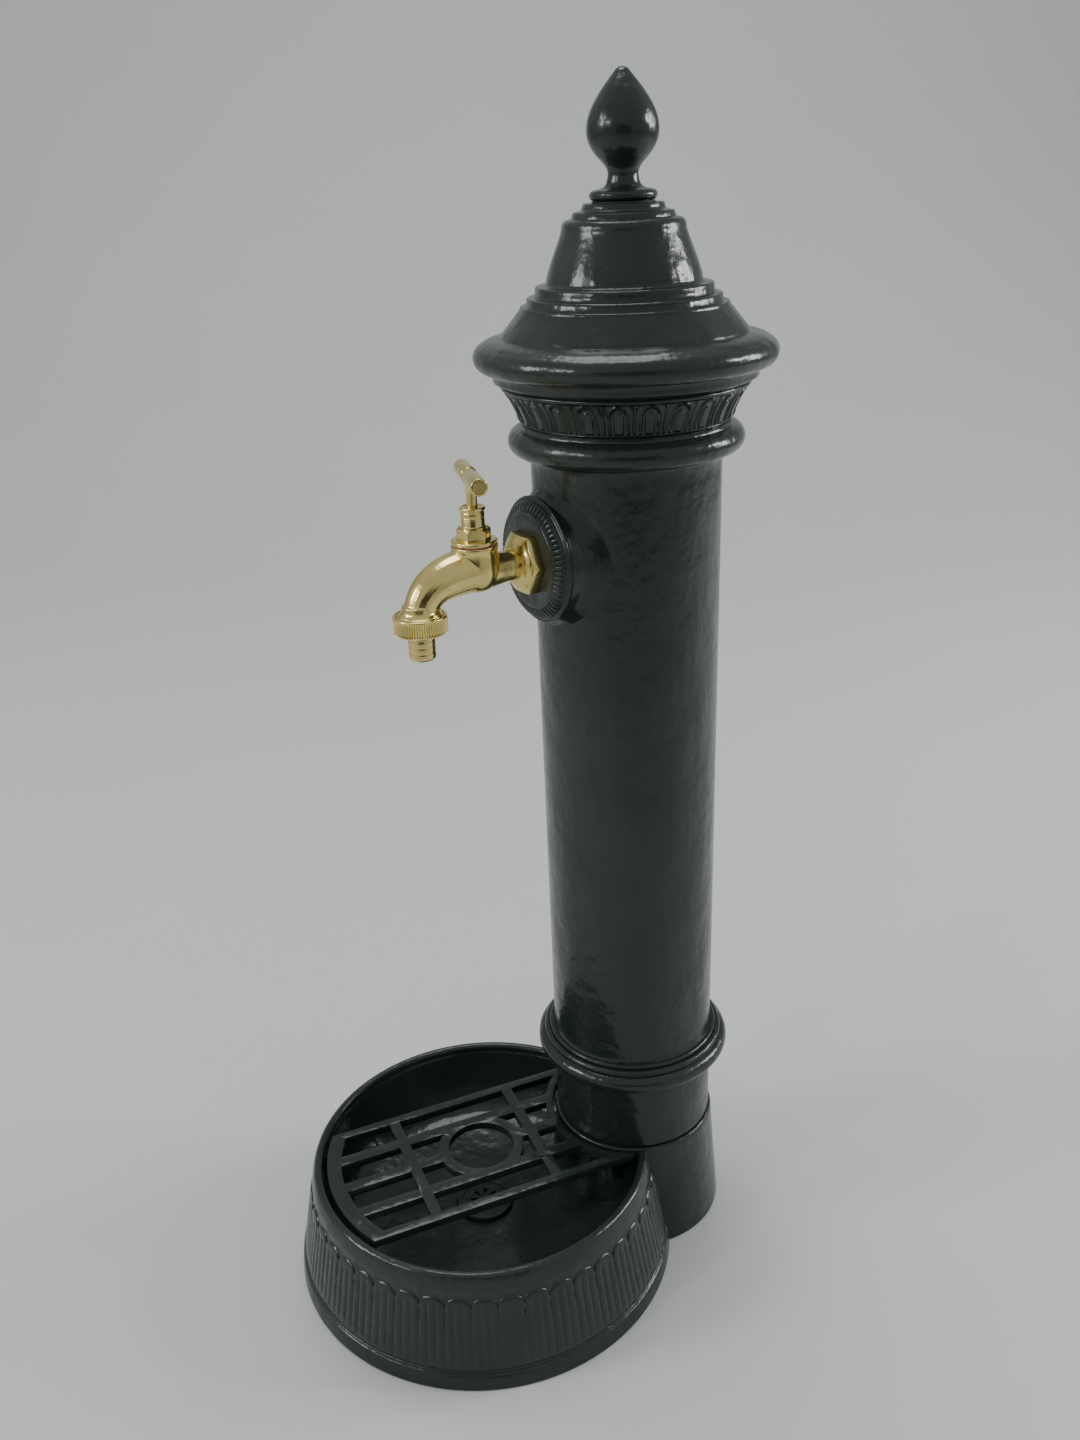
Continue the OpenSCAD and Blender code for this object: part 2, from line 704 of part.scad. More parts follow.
module supply_elbow() {
    socket_r = riser_r + 3.6;
    color(brass) turned() difference() {
        union() {
            translate([0, 0, tap_z]) sphere(r = socket_r);
            on_tap_axis(0) cylinder(r = socket_r, h = elbow_mouth_s);
            on_tap_axis(elbow_mouth_s - 6) cylinder(r = socket_r + 1.5, h = 6);
            translate([0, 0, tap_z - elbow_drop]) cylinder(r = socket_r, h = elbow_drop);
            translate([0, 0, tap_z - elbow_drop]) cylinder(r = socket_r + 1.5, h = 6);
        }
        on_tap_axis(0) cylinder(r = riser_bore_r, h = elbow_mouth_s);
        on_tap_axis(elbow_mouth_s - nipple_in_elbow - 0.5) cylinder(r = riser_r + fit, h =
            nipple_in_elbow + 0.5 + cut);
        translate([0, 0, tap_z - elbow_drop]) cylinder(r = riser_bore_r, h = elbow_drop);
        translate([0, 0, tap_z - elbow_drop - cut]) cylinder(r = riser_r + fit, h = 13.5 + cut);
    }
}

module riser_pipe() {
    foot = coupling_h / 2 + 1;
    color(steel) turned() translate([0, 0, foot]) tube(riser_r, riser_bore_r, tap_z - elbow_drop + 13 - foot);
}

module inlet_coupling() {
    socket_r = riser_r + 3.8;
    half = coupling_h / 2;
    color(brass) turned() difference() {
        union() {
            cylinder(r = socket_r, h = coupling_h);
            hexagon(2 * socket_r + 1, coupling_h / 3);
        }
        translate([0, 0, -cut]) cylinder(r = riser_r + fit, h = half - 1 + cut);
        translate([0, 0, half + 1]) cylinder(r = riser_r + fit, h = half);
        translate([0, 0, -cut]) cylinder(r = riser_bore_r, h = coupling_h + 2 * cut);
    }
}

module pipe_clip() {
    band_w = 14;
    color(steel) turned() translate([0, 0, column_z + clip_h]) difference() {
        union() {
            translate([0, 0, -band_w / 2]) cylinder(r = riser_r + 2.5, h = band_w);
            translate([0, 0, 0]) rotate([-90, 0, 0]) cylinder(r = 6.5, h = riser_r + 9);
        }
        translate([0, 0, -band_w]) cylinder(r = riser_r + fit, h = 2 * band_w);
        translate([0, riser_r + 3, 0]) rotate([-90, 0, 0]) cylinder(r = bolt_r + fit, h = 10);
    }
}

module clip_stud() {
    color(steel) turned() translate([0, riser_r + 3.2, column_z + clip_h]) rotate([-90, 0, 0])
        cylinder(r = bolt_r, h = clip_lug_s + 7.5 - riser_r - 3.2);
}

// ---------- tap ----------

throat_top = tap_z + 16.3;      // joint between body and bonnet
chamber_r = 9.5;
seat_z = tap_z + 3;
bonnet_gasket_t = 0.8;
bonnet_z = throat_top + bonnet_gasket_t;
flange_t = 2.2;
hex_h = 6.6;
hex_af = 17;
neck_r = 6.4;
neck_top = bonnet_z + flange_t + hex_h + 5.8;
packing_top = neck_top + 3;
gland_top = neck_top + 5.9;
spindle_thread_r = 4.8;
stem_z = bonnet_z + 3;          // top of the spindle's thread when the tap is shut

// Places its children on the spindle axis
module on_spindle(z) {
    turned() translate([0, -spindle_s, z]) children();
}

module on_outlet(z) {
    turned() translate([0, -outlet_s, z]) children();
}

module tap_body() {
    bulb_z = tap_z + 0.6;
    union_z = outlet_z + 4.6;
    neck_s = face_s + bush_hex_l;
    spout_path = [[-spindle_s + 3, tap_z + 0.5], [-spindle_s - 19, tap_z + 3], [-outlet_s - 0.2,
        tap_z + 2], [-outlet_s, union_z + 2]];
    water_path = [[-spindle_s + 1, tap_z + 8.5], [-spindle_s - 17, tap_z + 6], [-outlet_s - 0.2, tap_z + 2.5],
        [-outlet_s, outlet_z - 0.5]];
    color(brass) turned() difference() {
        union() {
            on_tap_axis(face_s - 15) cylinder(r = inlet_thread_r, h = 15 + bush_hex_l - 1.5);
            on_tap_axis(neck_s - 2) cylinder(r = 8, h = spindle_s - neck_s - 4);
            translate([0, -spindle_s, bulb_z]) sphere(r = throat_r - 1.2);
            translate([0, -spindle_s, bulb_z]) cylinder(r = throat_r - 0.6, h = throat_top - bulb_z);
            translate([0, -spindle_s, throat_top - 2]) cylinder(r = throat_r, h = 2);
            swept(spout_path, [spout_r + 1.2, spout_r, spout_r, spout_r], 18, 24);
            translate([0, -outlet_s, union_z]) cylinder(r1 = outlet_thread_r - 0.4, r2 = spout_r -
                0.2, h = 4.2);
            translate([0, -outlet_s, outlet_z]) cylinder(r = outlet_thread_r, h = union_z - outlet_z);
        }
        on_tap_axis(face_s - 15 - cut) cylinder(r = 5, h = spindle_s - face_s + 4);
        translate([0, -spindle_s + 0.5, tap_z - 2]) rotate([90, 0, 0]) cylinder(r = 3.4, h = 8,
            center = true);
        translate([0, -spindle_s, tap_z - 5.5]) cylinder(r = 4.5, h = 16);
        translate([0, -spindle_s, seat_z]) cylinder(r = chamber_r, h = throat_top - seat_z + cut);
        swept(water_path, [5.2, 6.4, 6.8, 7.2], 14, 20);
    }
}

module bonnet_gasket() {
    color(fibre) on_spindle(throat_top) tube(throat_r - 0.5, chamber_r + fit, bonnet_gasket_t);
}

module bonnet() {
    skirt = 3.6;
    packing_seat = neck_top - 3.2;
    color(brass) on_spindle(bonnet_z) difference() {
        union() {
            translate([0, 0, -skirt - bonnet_gasket_t]) cylinder(r = chamber_r - fit, h = skirt +
                bonnet_gasket_t + cut);
            cylinder(r = throat_r - 0.2, h = flange_t);
            translate([0, 0, flange_t - cut / 2]) rotate([0, 0, 12]) chamfered_hexagon(hex_af, hex_h
                + cut / 2, 1);
            cylinder(r = neck_r, h = neck_top - bonnet_z);
            cylinder(r = neck_r - 0.9, h = packing_top - bonnet_z);
        }
        translate([0, 0, -skirt - bonnet_gasket_t - cut])
            cylinder(r = spindle_thread_r + fit, h = skirt + bonnet_gasket_t + 3 + valve_lift + 2 * cut);
        cylinder(r = spindle_r + fit, h = packing_top - bonnet_z + cut);
        translate([0, 0, packing_seat - bonnet_z]) cylinder(r = spindle_r + 1.7, h = packing_top -
            packing_seat + cut);
    }
}

module gland_packing() {
    color(rubber) on_spindle(neck_top - 3.1) tube(spindle_r + 1.6, spindle_r + fit, packing_top -
        neck_top + 3.1);
}

module gland_nut() {
    color(brass) on_spindle(neck_top + 0.1) difference() {
        union() {
            cylinder(r = 6.9, h = gland_top - neck_top - 2.5);
            translate([0, 0, gland_top - neck_top - 2.6]) cylinder(r1 = 6.4, r2 = 7.2, h = 1.2);
            translate([0, 0, gland_top - neck_top - 1.5]) cylinder(r = 7.2, h = 1.4);
        }
        translate([0, 0, -cut]) cylinder(r = neck_r - 0.9 + fit, h = packing_top - neck_top + cut);
        translate([0, 0, -cut]) cylinder(r = spindle_r + fit, h = gland_top - neck_top + 2 * cut);
    }
}

jumper_top = seat_z + 3 + 2;      // washer 3 thick, disc 2 thick
jumper_stem_r = 2.2;
jumper_stem_h = 7;

module spindle() {
    thread_z = jumper_top + 0.3;
    color(brass) on_spindle(thread_z) difference() {
        union() {
            cylinder(r = spindle_thread_r, h = stem_z - thread_z);
            cylinder(r = spindle_r, h = bar_z + bar_r - 0.4 - thread_z);
        }
        translate([0, 0, -cut]) cylinder(r = jumper_stem_r + fit, h = jumper_stem_h + cut);
    }
}

// T-bar: two thick arms, a waist in the middle and a ring on each side of it
module tee_handle() {
    waist_w = 8;
    arm = (bar_len - waist_w) / 2;
    color(brass) on_spindle(bar_z) rotate([0, 0, bar_turn]) difference() {
        rotate([0, 90, 0]) union() {
            for (side = [0, 180]) rotate([side, 0, 0]) {
                translate([0, 0, waist_w / 2]) cylinder(r = bar_r, h = arm - 0.6);
                translate([0, 0, bar_len / 2 - 0.6]) cylinder(r1 = bar_r, r2 = bar_r - 0.6, h = 0.6);
            }
            cylinder(r = bar_r - 0.9, h = waist_w + cut, center = true);
        }
        translate([0, 0, -2 * bar_r]) cylinder(r = spindle_r + fit, h = 4 * bar_r);
    }
}

module jumper_valve() {
    color(brass) on_spindle(seat_z) union() {
        translate([0, 0, 3 + rest_gap]) cylinder(r = chamber_r - 1, h = 2);
        translate([0, 0, -1.5]) cylinder(r = 1.7, h = 5);
        translate([0, 0, 4.8]) cylinder(r = jumper_stem_r, h = jumper_stem_h);
    }
}

module tap_washer() {
    color(rubber) on_spindle(seat_z + rest_gap) tube(chamber_r - 1.5, 1.7 + fit, 3);
}

module washer_nut() {
    color(brass) on_spindle(seat_z - 1.5) difference() {
        hexagon(5.6, 1.5);
        translate([0, 0, -cut]) cylinder(r = 1.7 + fit, h = 1.5 + 2 * cut);
    }
}

// ---------- hose union ----------

hose_washer_t = 2;
tail_flange_t = 2;
tail_flange_z = outlet_z - hose_washer_t - rest_gap - tail_flange_t;
union_lip_t = 2;
union_z0 = tail_flange_z - union_lip_t - rest_gap;

module hose_washer() {
    color(rubber) on_outlet(outlet_z - hose_washer_t - rest_gap) tube(outlet_thread_r - 0.6, 7,
        hose_washer_t);
}

module hose_tail() {
    groove_count = 3;
    foot_z = union_z0 - tail_l;
    tail_h = tail_flange_z - foot_z;
    color(brass) on_outlet(0) difference() {
        union() {
            translate([0, 0, tail_flange_z]) cylinder(r = outlet_thread_r - 0.5, h = tail_flange_t);
            translate([0, 0, foot_z]) cylinder(r = tail_r, h = tail_l - 0.5);
            translate([0, 0, foot_z]) cylinder(r = tail_r - 0.4, h = tail_h + 0.5);
        }
        translate([0, 0, foot_z - cut]) cylinder(r = tail_r - 1.5, h = tail_h + tail_flange_t + 2 * cut);
        rotate_extrude() for (i = [1 : groove_count]) translate([tail_r + 0.55, foot_z + i * tail_l / 5])
            circle(r = 1, $fn = 24);
    }
}

module union_nut() {
    chamfer = 0.7;
    color(brass) on_outlet(union_z0) difference() {
        union() {
            cylinder(r1 = union_r - chamfer, r2 = union_r, h = chamfer);
            translate([0, 0, chamfer]) cylinder(r = union_r, h = union_h - 2 * chamfer);
            translate([0, 0, union_h - chamfer]) cylinder(r1 = union_r, r2 = union_r - chamfer, h = chamfer);
        }
        translate([0, 0, union_lip_t]) cylinder(r = outlet_thread_r + fit, h = union_h);
        translate([0, 0, -cut]) cylinder(r = tail_r + fit, h = union_h);
    }
}

base_casting();
seat_gasket();
column_bolts();
bolt_washers();
column();
cap();
finial_washer();
finial();
finial_stud();
grate();
waste_body();
waste_gasket();
waste_nut();
strainer();
strainer_screw();
reducing_bush();
back_nut();
barrel_nipple();
supply_elbow();
riser_pipe();
inlet_coupling();
pipe_clip();
clip_stud();
tap_body();
bonnet_gasket();
bonnet();
gland_packing();
gland_nut();
spindle();
tee_handle();
jumper_valve();
tap_washer();
washer_nut();
hose_washer();
union_nut();
hose_tail();
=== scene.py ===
"""Looks of a cast-iron column drinking fountain with a brass bib tap.

Lengths inside the classes are millimetres; meshes are written in metres, in the frame of the CAD part:
+Z up along the column, the basin towards -Y, the origin on the column's axis at ground level.
"""

from __future__ import annotations

import logging
import math
from dataclasses import dataclass
from enum import Enum
from typing import Callable, Iterable, Sequence

import bmesh
import bpy
from mathutils import Matrix, Vector

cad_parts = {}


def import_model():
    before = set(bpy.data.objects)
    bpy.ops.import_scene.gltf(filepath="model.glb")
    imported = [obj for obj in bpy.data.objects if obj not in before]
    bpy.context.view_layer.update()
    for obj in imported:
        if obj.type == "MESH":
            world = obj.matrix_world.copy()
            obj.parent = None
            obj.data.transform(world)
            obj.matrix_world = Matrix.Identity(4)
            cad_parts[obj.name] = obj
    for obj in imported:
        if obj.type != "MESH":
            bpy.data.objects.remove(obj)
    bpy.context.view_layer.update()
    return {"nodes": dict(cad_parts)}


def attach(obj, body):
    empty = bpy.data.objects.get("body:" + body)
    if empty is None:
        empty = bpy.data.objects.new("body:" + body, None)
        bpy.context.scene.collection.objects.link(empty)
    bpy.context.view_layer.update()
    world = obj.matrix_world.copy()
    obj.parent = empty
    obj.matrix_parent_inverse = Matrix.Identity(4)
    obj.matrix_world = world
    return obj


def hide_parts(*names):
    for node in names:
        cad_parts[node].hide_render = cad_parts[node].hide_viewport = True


log = logging.getLogger("fountain")

MM = 0.001
Point = tuple[float, float]


# ---------------------------------------------------------------- profiles


def arc(centre: Point, radius: float, first: float, last: float, steps: int) -> list[Point]:
    """Points of a circular arc in a profile.

    Args:
        centre: Centre of the arc, as radius and height.
        radius: Radius of the arc.
        first: Angle of the first point, in degrees.
        last: Angle of the last point, in degrees.
        steps: Number of chords.

    Returns:
        The points, both ends included.
    """
    span = math.radians(last - first)
    return [
        (
            centre[0] + radius * math.cos(math.radians(first) + span * i / steps),
            centre[1] + radius * math.sin(math.radians(first) + span * i / steps),
        )
        for i in range(steps + 1)
    ]


def curve(p0: Point, p1: Point, p2: Point, p3: Point, steps: int) -> list[Point]:
    """Points of a cubic curve, both ends included.

    Args:
        p0: Start.
        p1: First handle.
        p2: Second handle.
        p3: End.
        steps: Number of chords.

    Returns:
        The points from p0 to p3.
    """
    points = []
    for i in range(steps + 1):
        t = i / steps
        u = 1 - t
        a, b, c, d = u * u * u, 3 * u * u * t, 3 * u * t * t, t * t * t
        points.append((a * p0[0] + b * p1[0] + c * p2[0] + d * p3[0],
            a * p0[1] + b * p1[1] + c * p2[1] + d * p3[1]))
    return points


def line(p0: Point, p1: Point, steps: int) -> list[Point]:
    """Points evenly spread on a straight line, both ends included."""
    return [(p0[0] + (p1[0] - p0[0]) * i / steps,
        p0[1] + (p1[1] - p0[1]) * i / steps) for i in range(steps + 1)]


def chain(*runs: Sequence[Point]) -> list[Point]:
    """Joins runs of profile points and drops the ones that repeat."""
    points: list[Point] = []
    for run in runs:
        for p in run:
            if not points or math.dist(p, points[-1]) > 1e-4:
                points.append(p)
    return points


def soften(points: Sequence[Point], radius: float, steps: int = 3) -> list[Point]:
    """Rounds the inner corners of an open profile.

    Args:
        points: Corner points of the profile.
        radius: Length that each rounding takes from the two sides of a corner.
        steps: Chords in each rounding.

    Returns:
        The profile with its corners rounded.
    """
    rounded: list[Point] = [points[0]]
    for before, corner, after in zip(points, points[1:], points[2:]):
        reach_in = min(radius, math.dist(before, corner) * 0.45) / math.dist(before, corner)
        reach_out = min(radius, math.dist(after, corner) * 0.45) / math.dist(after, corner)
        a = (corner[0] + (before[0] - corner[0]) * reach_in, corner[1] + (before[1] - corner[1]) * reach_in)
        b = (corner[0] + (after[0] - corner[0]) * reach_out, corner[1] + (after[1] - corner[1]) * reach_out)
        rounded += curve(a, _mix(a, corner, 0.6), _mix(b, corner, 0.6), b, steps)
    return rounded + [points[-1]]


def _mix(a: Point, b: Point, t: float) -> Point:
    """Point at the fraction t of the way from a to b."""
    return (a[0] + (b[0] - a[0]) * t, a[1] + (b[1] - a[1]) * t)


def smoothstep(low: float, high: float, value: float) -> float:
    """Eased step from 0 at low to 1 at high."""
    t = min(max((value - low) / (high - low), 0.0), 1.0)
    return t * t * (3 - 2 * t)


# ---------------------------------------------------------------- shader maths


@dataclass(frozen=True)
class Signal:
    """A number that varies over a surface: a socket with arithmetic."""

    bench: "Bench"
    socket: bpy.types.NodeSocket

    def _with(self, operation: str, first: object, second: object) -> "Signal":
        """Adds a Math node for two operands."""
        node = self.bench.node("ShaderNodeMath", {"operation": operation}, {0: first, 1: second})
        return Signal(self.bench, node.outputs[0])

    def __add__(self, other: object) -> "Signal":
        """Sum."""
        return self._with("ADD", self, other)

    def __sub__(self, other: object) -> "Signal":
        """Difference."""
        return self._with("SUBTRACT", self, other)

    def __rsub__(self, other: object) -> "Signal":
        """Reflected difference."""
        return self._with("SUBTRACT", other, self)

    def __mul__(self, other: object) -> "Signal":
        """Product."""
        return self._with("MULTIPLY", self, other)

    def __truediv__(self, other: object) -> "Signal":
        """Quotient."""
        return self._with("DIVIDE", self, other)

    def __pow__(self, other: object) -> "Signal":
        """Power."""
        return self._with("POWER", self, other)

    __radd__ = __add__
    __rmul__ = __mul__

    def ramp(self, low: float, high: float) -> "Signal":
        """Smooth step of the signal between two values."""
        node = self.bench.node(
            "ShaderNodeMapRange",
            {"interpolation_type": "SMOOTHSTEP", "clamp": True},
            {"Value": self, "From Min": low, "From Max": high},
        )
        return Signal(self.bench, node.outputs["Result"])


class Bench:
    """Node tree of one material, with short ways to add what the finishes use."""

    def __init__(self, name: str) -> None:
        """Makes an empty material.

        Args:
            name: Name of the material.
        """
        self.material = bpy.data.materials.new(name)
        self.material.use_nodes = True
        self.tree = self.material.node_tree
        self.tree.nodes.clear()
        self.place = self.node("ShaderNodeTexCoord").outputs["Object"]

    def node(
        self, kind: str, settings: dict[str, object] | None = None, inputs: dict[object, object] | None = None
    ) -> bpy.types.Node:
        """Adds a node.

        Args:
            kind: Blender's name of the node type.
            settings: Properties of the node, set before its sockets are filled.
            inputs: Value, socket or signal for each input, by name or number.

        Returns:
            The new node.
        """
        node = self.tree.nodes.new(kind)
        for key, value in (settings or {}).items():
            setattr(node, key, value)
        for key, value in (inputs or {}).items():
            if isinstance(value, Signal):
                value = value.socket
            if isinstance(value, bpy.types.NodeSocket):
                self.tree.links.new(value, node.inputs[key])
            else:
                node.inputs[key].default_value = value
        return node

    def noise(self, scale: float, detail: float = 3.0, rough: float = 0.5,
        stretch: Vector | None = None) -> Signal:
        """Noise over the piece's own coordinates.

        Args:
            scale: Cycles per metre.
            detail: Octaves.
            rough: Weight of the finer octaves.
            stretch: Scale of each axis, for streaks.

        Returns:
            The noise, around 0.5.
        """
        place = self.place
        if stretch is not None:
            place = self.node("ShaderNodeMapping", None, {"Vector": place, "Scale": stretch}).outputs[0]
        node = self.node(
            "ShaderNodeTexNoise", None,
            {"Vector": place, "Scale": scale, "Detail": detail, "Roughness": rough}
        )
        return Signal(self, node.outputs["Fac"])

    def cells(self, scale: float) -> Signal:
        """Distance to scattered points, for pits and specks."""
        node = self.node("ShaderNodeTexVoronoi", None, {"Vector": self.place, "Scale": scale})
        return Signal(self, node.outputs["Distance"])

    def blend(self, mask: Signal | float, low: Sequence[float],
        high: Sequence[float]) -> bpy.types.NodeSocket:
        """Mix of two colours by a mask.

        Args:
            mask: Share of the second colour.
            low: Colour, or a socket, where the mask is 0.
            high: Colour, or a socket, where the mask is 1.

        Returns:
            The colour socket.
        """
        node = self.node("ShaderNodeMix", {"data_type": "RGBA"})
        for key, value in ((0, mask), (6, low), (7, high)):
            if isinstance(value, Signal):
                value = value.socket
            if isinstance(value, bpy.types.NodeSocket):
                self.tree.links.new(value, node.inputs[key])
            else:
                node.inputs[key].default_value = (*value, 1.0) if isinstance(value, tuple) else value
        return node.outputs[2]

    def finish(self, bumps: Iterable[tuple[Signal, float, float]], **inputs: object) -> bpy.types.Material:
        """Ends the tree in a Principled shader.

        Args:
            bumps: Height signals, each with its strength and its depth in metres.
            **inputs: Sockets of the shader, with underscores for spaces.

        Returns:
            The finished material.
        """
        normal: bpy.types.NodeSocket | None = None
        for height, strength, depth in bumps:
            sockets: dict[object, object] = {"Height": height, "Strength": strength, "Distance": depth}
            if normal is not None:
                sockets["Normal"] = normal
            normal = self.node("ShaderNodeBump", None, sockets).outputs[0]
        shader = self.node(
            "ShaderNodeBsdfPrincipled", None, {key.replace("_", " "): value for key, value in inputs.items()}
        )
        if normal is not None:
            self.tree.links.new(normal, shader.inputs["Normal"])
        self.node("ShaderNodeOutputMaterial", None, {"Surface": shader.outputs[0]})
        return self.material


# ---------------------------------------------------------------- finishes


@dataclass(frozen=True)
class Enamel:
    """Thick gloss paint over rough cast iron."""

    name: str = "enamel"
    base: tuple[float, float, float] = (0.0125, 0.0205, 0.018)
    dust: tuple[float, float, float] = (0.025, 0.036, 0.032)
    gloss: float = 0.17
    lumps: float = 0.8

    def make(self) -> bpy.types.Material:
        """Builds the material.

        Returns:
            Dark green enamel with orange peel, sags and casting lumps under the gloss.
        """
        bench = Bench(self.name)
        broad = bench.noise(34, 3, 0.55)
        sags = bench.noise(75, 3, 0.5, Vector((1, 1, 0.22)))
        peel = bench.noise(420, 3, 0.55)
        grit = bench.cells(240)
        specks = grit.ramp(0.10, 0.02) * bench.noise(60, 2).ramp(0.52, 0.66)
        wiped = bench.noise(9, 5, 0.6).ramp(0.38, 0.72)
        colour = bench.blend(wiped * 0.55 + specks * 0.3, self.base, self.dust)
        rough = self.gloss + wiped * 0.06 + peel * 0.05
        return bench.finish(
            [(broad, self.lumps, 0.0024), (sags, 0.5, 0.0012), (peel, 0.55, 0.00022), (specks, 0.4, 0.0003)],
            Base_Color=colour,
            Roughness=rough,
            Specular_IOR_Level=0.42,
        )


@dataclass(frozen=True)
class Brass:
    """Polished yellow brass with faint turning marks and a little tarnish."""

    name: str = "brass"
    bright: tuple[float, float, float] = (0.76, 0.62, 0.25)
    dull: tuple[float, float, float] = (0.52, 0.39, 0.13)
    gloss: float = 0.15
    cast: float = 0.35

    def make(self) -> bpy.types.Material:
        """Builds the material.

        Returns:
            Brass whose tone and gloss drift over the surface.
        """
        bench = Bench(self.name)
        drift = bench.noise(55, 4, 0.55)
        turning = bench.noise(900, 2, 0.5, Vector((0.05, 0.05, 1)))
        grain = bench.noise(1400, 2, 0.5)
        stain = bench.noise(130, 4, 0.6).ramp(0.56, 0.74)
        colour = bench.blend(drift.ramp(0.35, 0.7) * 0.4 + stain * 0.35, self.bright, self.dull)
        rough = self.gloss + drift * 0.06 + stain * 0.16 + turning * 0.05
        return bench.finish(
            [(drift, self.cast, 0.0006), (turning, 0.12, 0.00006), (grain, 0.1, 0.00004)],
            Base_Color=colour,
            Metallic=1.0,
            Roughness=rough,
        )


@dataclass(frozen=True)
class Zinc:
    """Zinc-plated steel of the hidden fixings and pipes."""

    name: str = "zinc"
    light: tuple[float, float, float] = (0.50, 0.51, 0.50)
    dark: tuple[float, float, float] = (0.28, 0.28, 0.27)

    def make(self) -> bpy.types.Material:
        """Builds the material.

        Returns:
            Cloudy grey metal with drawn streaks.
        """
        bench = Bench(self.name)
        cloud = bench.noise(70, 5, 0.6)
        streak = bench.noise(420, 3, 0.5, Vector((1, 1, 0.04)))
        spangle = bench.cells(190)
        colour = bench.blend(cloud.ramp(0.4, 0.68) * 0.6 + spangle * 0.2, self.light, self.dark)
        return bench.finish(
            [(streak, 0.2, 0.0001)], Base_Color=colour, Metallic=1.0,
            Roughness=0.3 + cloud * 0.2 + streak * 0.06
        )


@dataclass(frozen=True)
class Rubber:
    """Rubber or pressed fibre of the washers and gaskets."""

    name: str = "rubber"
    base: tuple[float, float, float] = (0.012, 0.012, 0.012)
    bloom: tuple[float, float, float] = (0.045, 0.043, 0.04)

    def make(self) -> bpy.types.Material:
        """Builds the material.

        Returns:
            Matt surface with a fine grain and a dusty bloom.
        """
        bench = Bench(self.name)
        dust = bench.noise(140, 4, 0.6)
        grain = bench.noise(2200, 2, 0.5)
        colour = bench.blend(dust.ramp(0.4, 0.75), self.base, self.bloom)
        return bench.finish([(grain, 0.3, 0.0001)], Base_Color=colour, Roughness=0.62 + dust * 0.2)


@dataclass(frozen=True)
class Paper:
    """Pale studio floor and sweep."""

    name: str = "sweep"
    tone: tuple[float, float, float] = (0.56, 0.575, 0.56)

    def make(self) -> bpy.types.Material:
        """Builds the material.

        Returns:
            Plain matt paper.
        """
        bench = Bench(self.name)
        cloud = bench.noise(2.2, 3, 0.5)
        shade = tuple(c * 0.95 for c in self.tone)
        return bench.finish(
            [], Base_Color=bench.blend(cloud, self.tone, shade), Roughness=0.7, Specular_IOR_Level=0.2
        )


class Coat(Enum):
    """The finishes that pieces can have, with the record's slot of each."""

    ENAMEL = "enamel"
    BRASS = "brass"
    RUBBER = "rubber"
    FIBRE = "fibre"
    ZINC = "zinc_steel"


class Palette:
    """One material for each finish."""

    def __init__(self) -> None:
        """Builds the materials."""
        self.of: dict[Coat, bpy.types.Material] = {
            Coat.ENAMEL: Enamel().make(),
            Coat.BRASS: Brass().make(),
            Coat.RUBBER: Rubber().make(),
            Coat.FIBRE: Rubber("fibre", (0.20, 0.055, 0.03), (0.34, 0.13, 0.07)).make(),
            Coat.ZINC: Zinc().make(),
        }

    def dress(self, obj: bpy.types.Object, coat: Coat) -> None:
        """Gives an object one finish.

        Args:
            obj: The piece or CAD node.
            coat: Its finish.
        """
        for slot in obj.material_slots:
            slot.material = self.of[coat]
        if not obj.material_slots:
            obj.data.materials.append(self.of[coat])


# ---------------------------------------------------------------- mesh tools


class Axis(Enum):
    """Where the axis of a turned shape lies."""

    COLUMN = "column"
    BASIN = "basin"
    SPINDLE = "spindle"
    OUTLET = "outlet"
    TAP = "tap"


@dataclass(frozen=True)
class Layout:
    """Places that the sub-assemblies share, in millimetres."""

    turn: float = 8.0
    basin_y: float = -117.2
    tap_z: float = 493.6
    face_s: float = 68.5
    spindle_s: float = 102.2
    outlet_s: float = 138.6
    ground_top: float = 80.7
    column_foot: float = 81.5
    column_top: float = 566.6
    cap_top: float = 681.4

    def matrix(self, axis: Axis) -> Matrix:
        """Transform from a shape turned about +Z to its place.

        Args:
            axis: The axis that the shape was turned about.

        Returns:
            The matrix, in metres.
        """
        turned = Matrix.Rotation(math.radians(self.turn), 4, "Z")
        if axis is Axis.BASIN:
            return Matrix.Translation((0, self.basin_y * MM, 0))
        if axis is Axis.SPINDLE:
            return turned @ Matrix.Translation((0, -self.spindle_s * MM, 0))
        if axis is Axis.OUTLET:
            return turned @ Matrix.Translation((0, -self.outlet_s * MM, 0))
        if axis is Axis.TAP:
            return turned @ Matrix.Translation((0, 0, self.tap_z * MM)) @ Matrix.Rotation(math.pi / 2, 4, "X")
        return turned


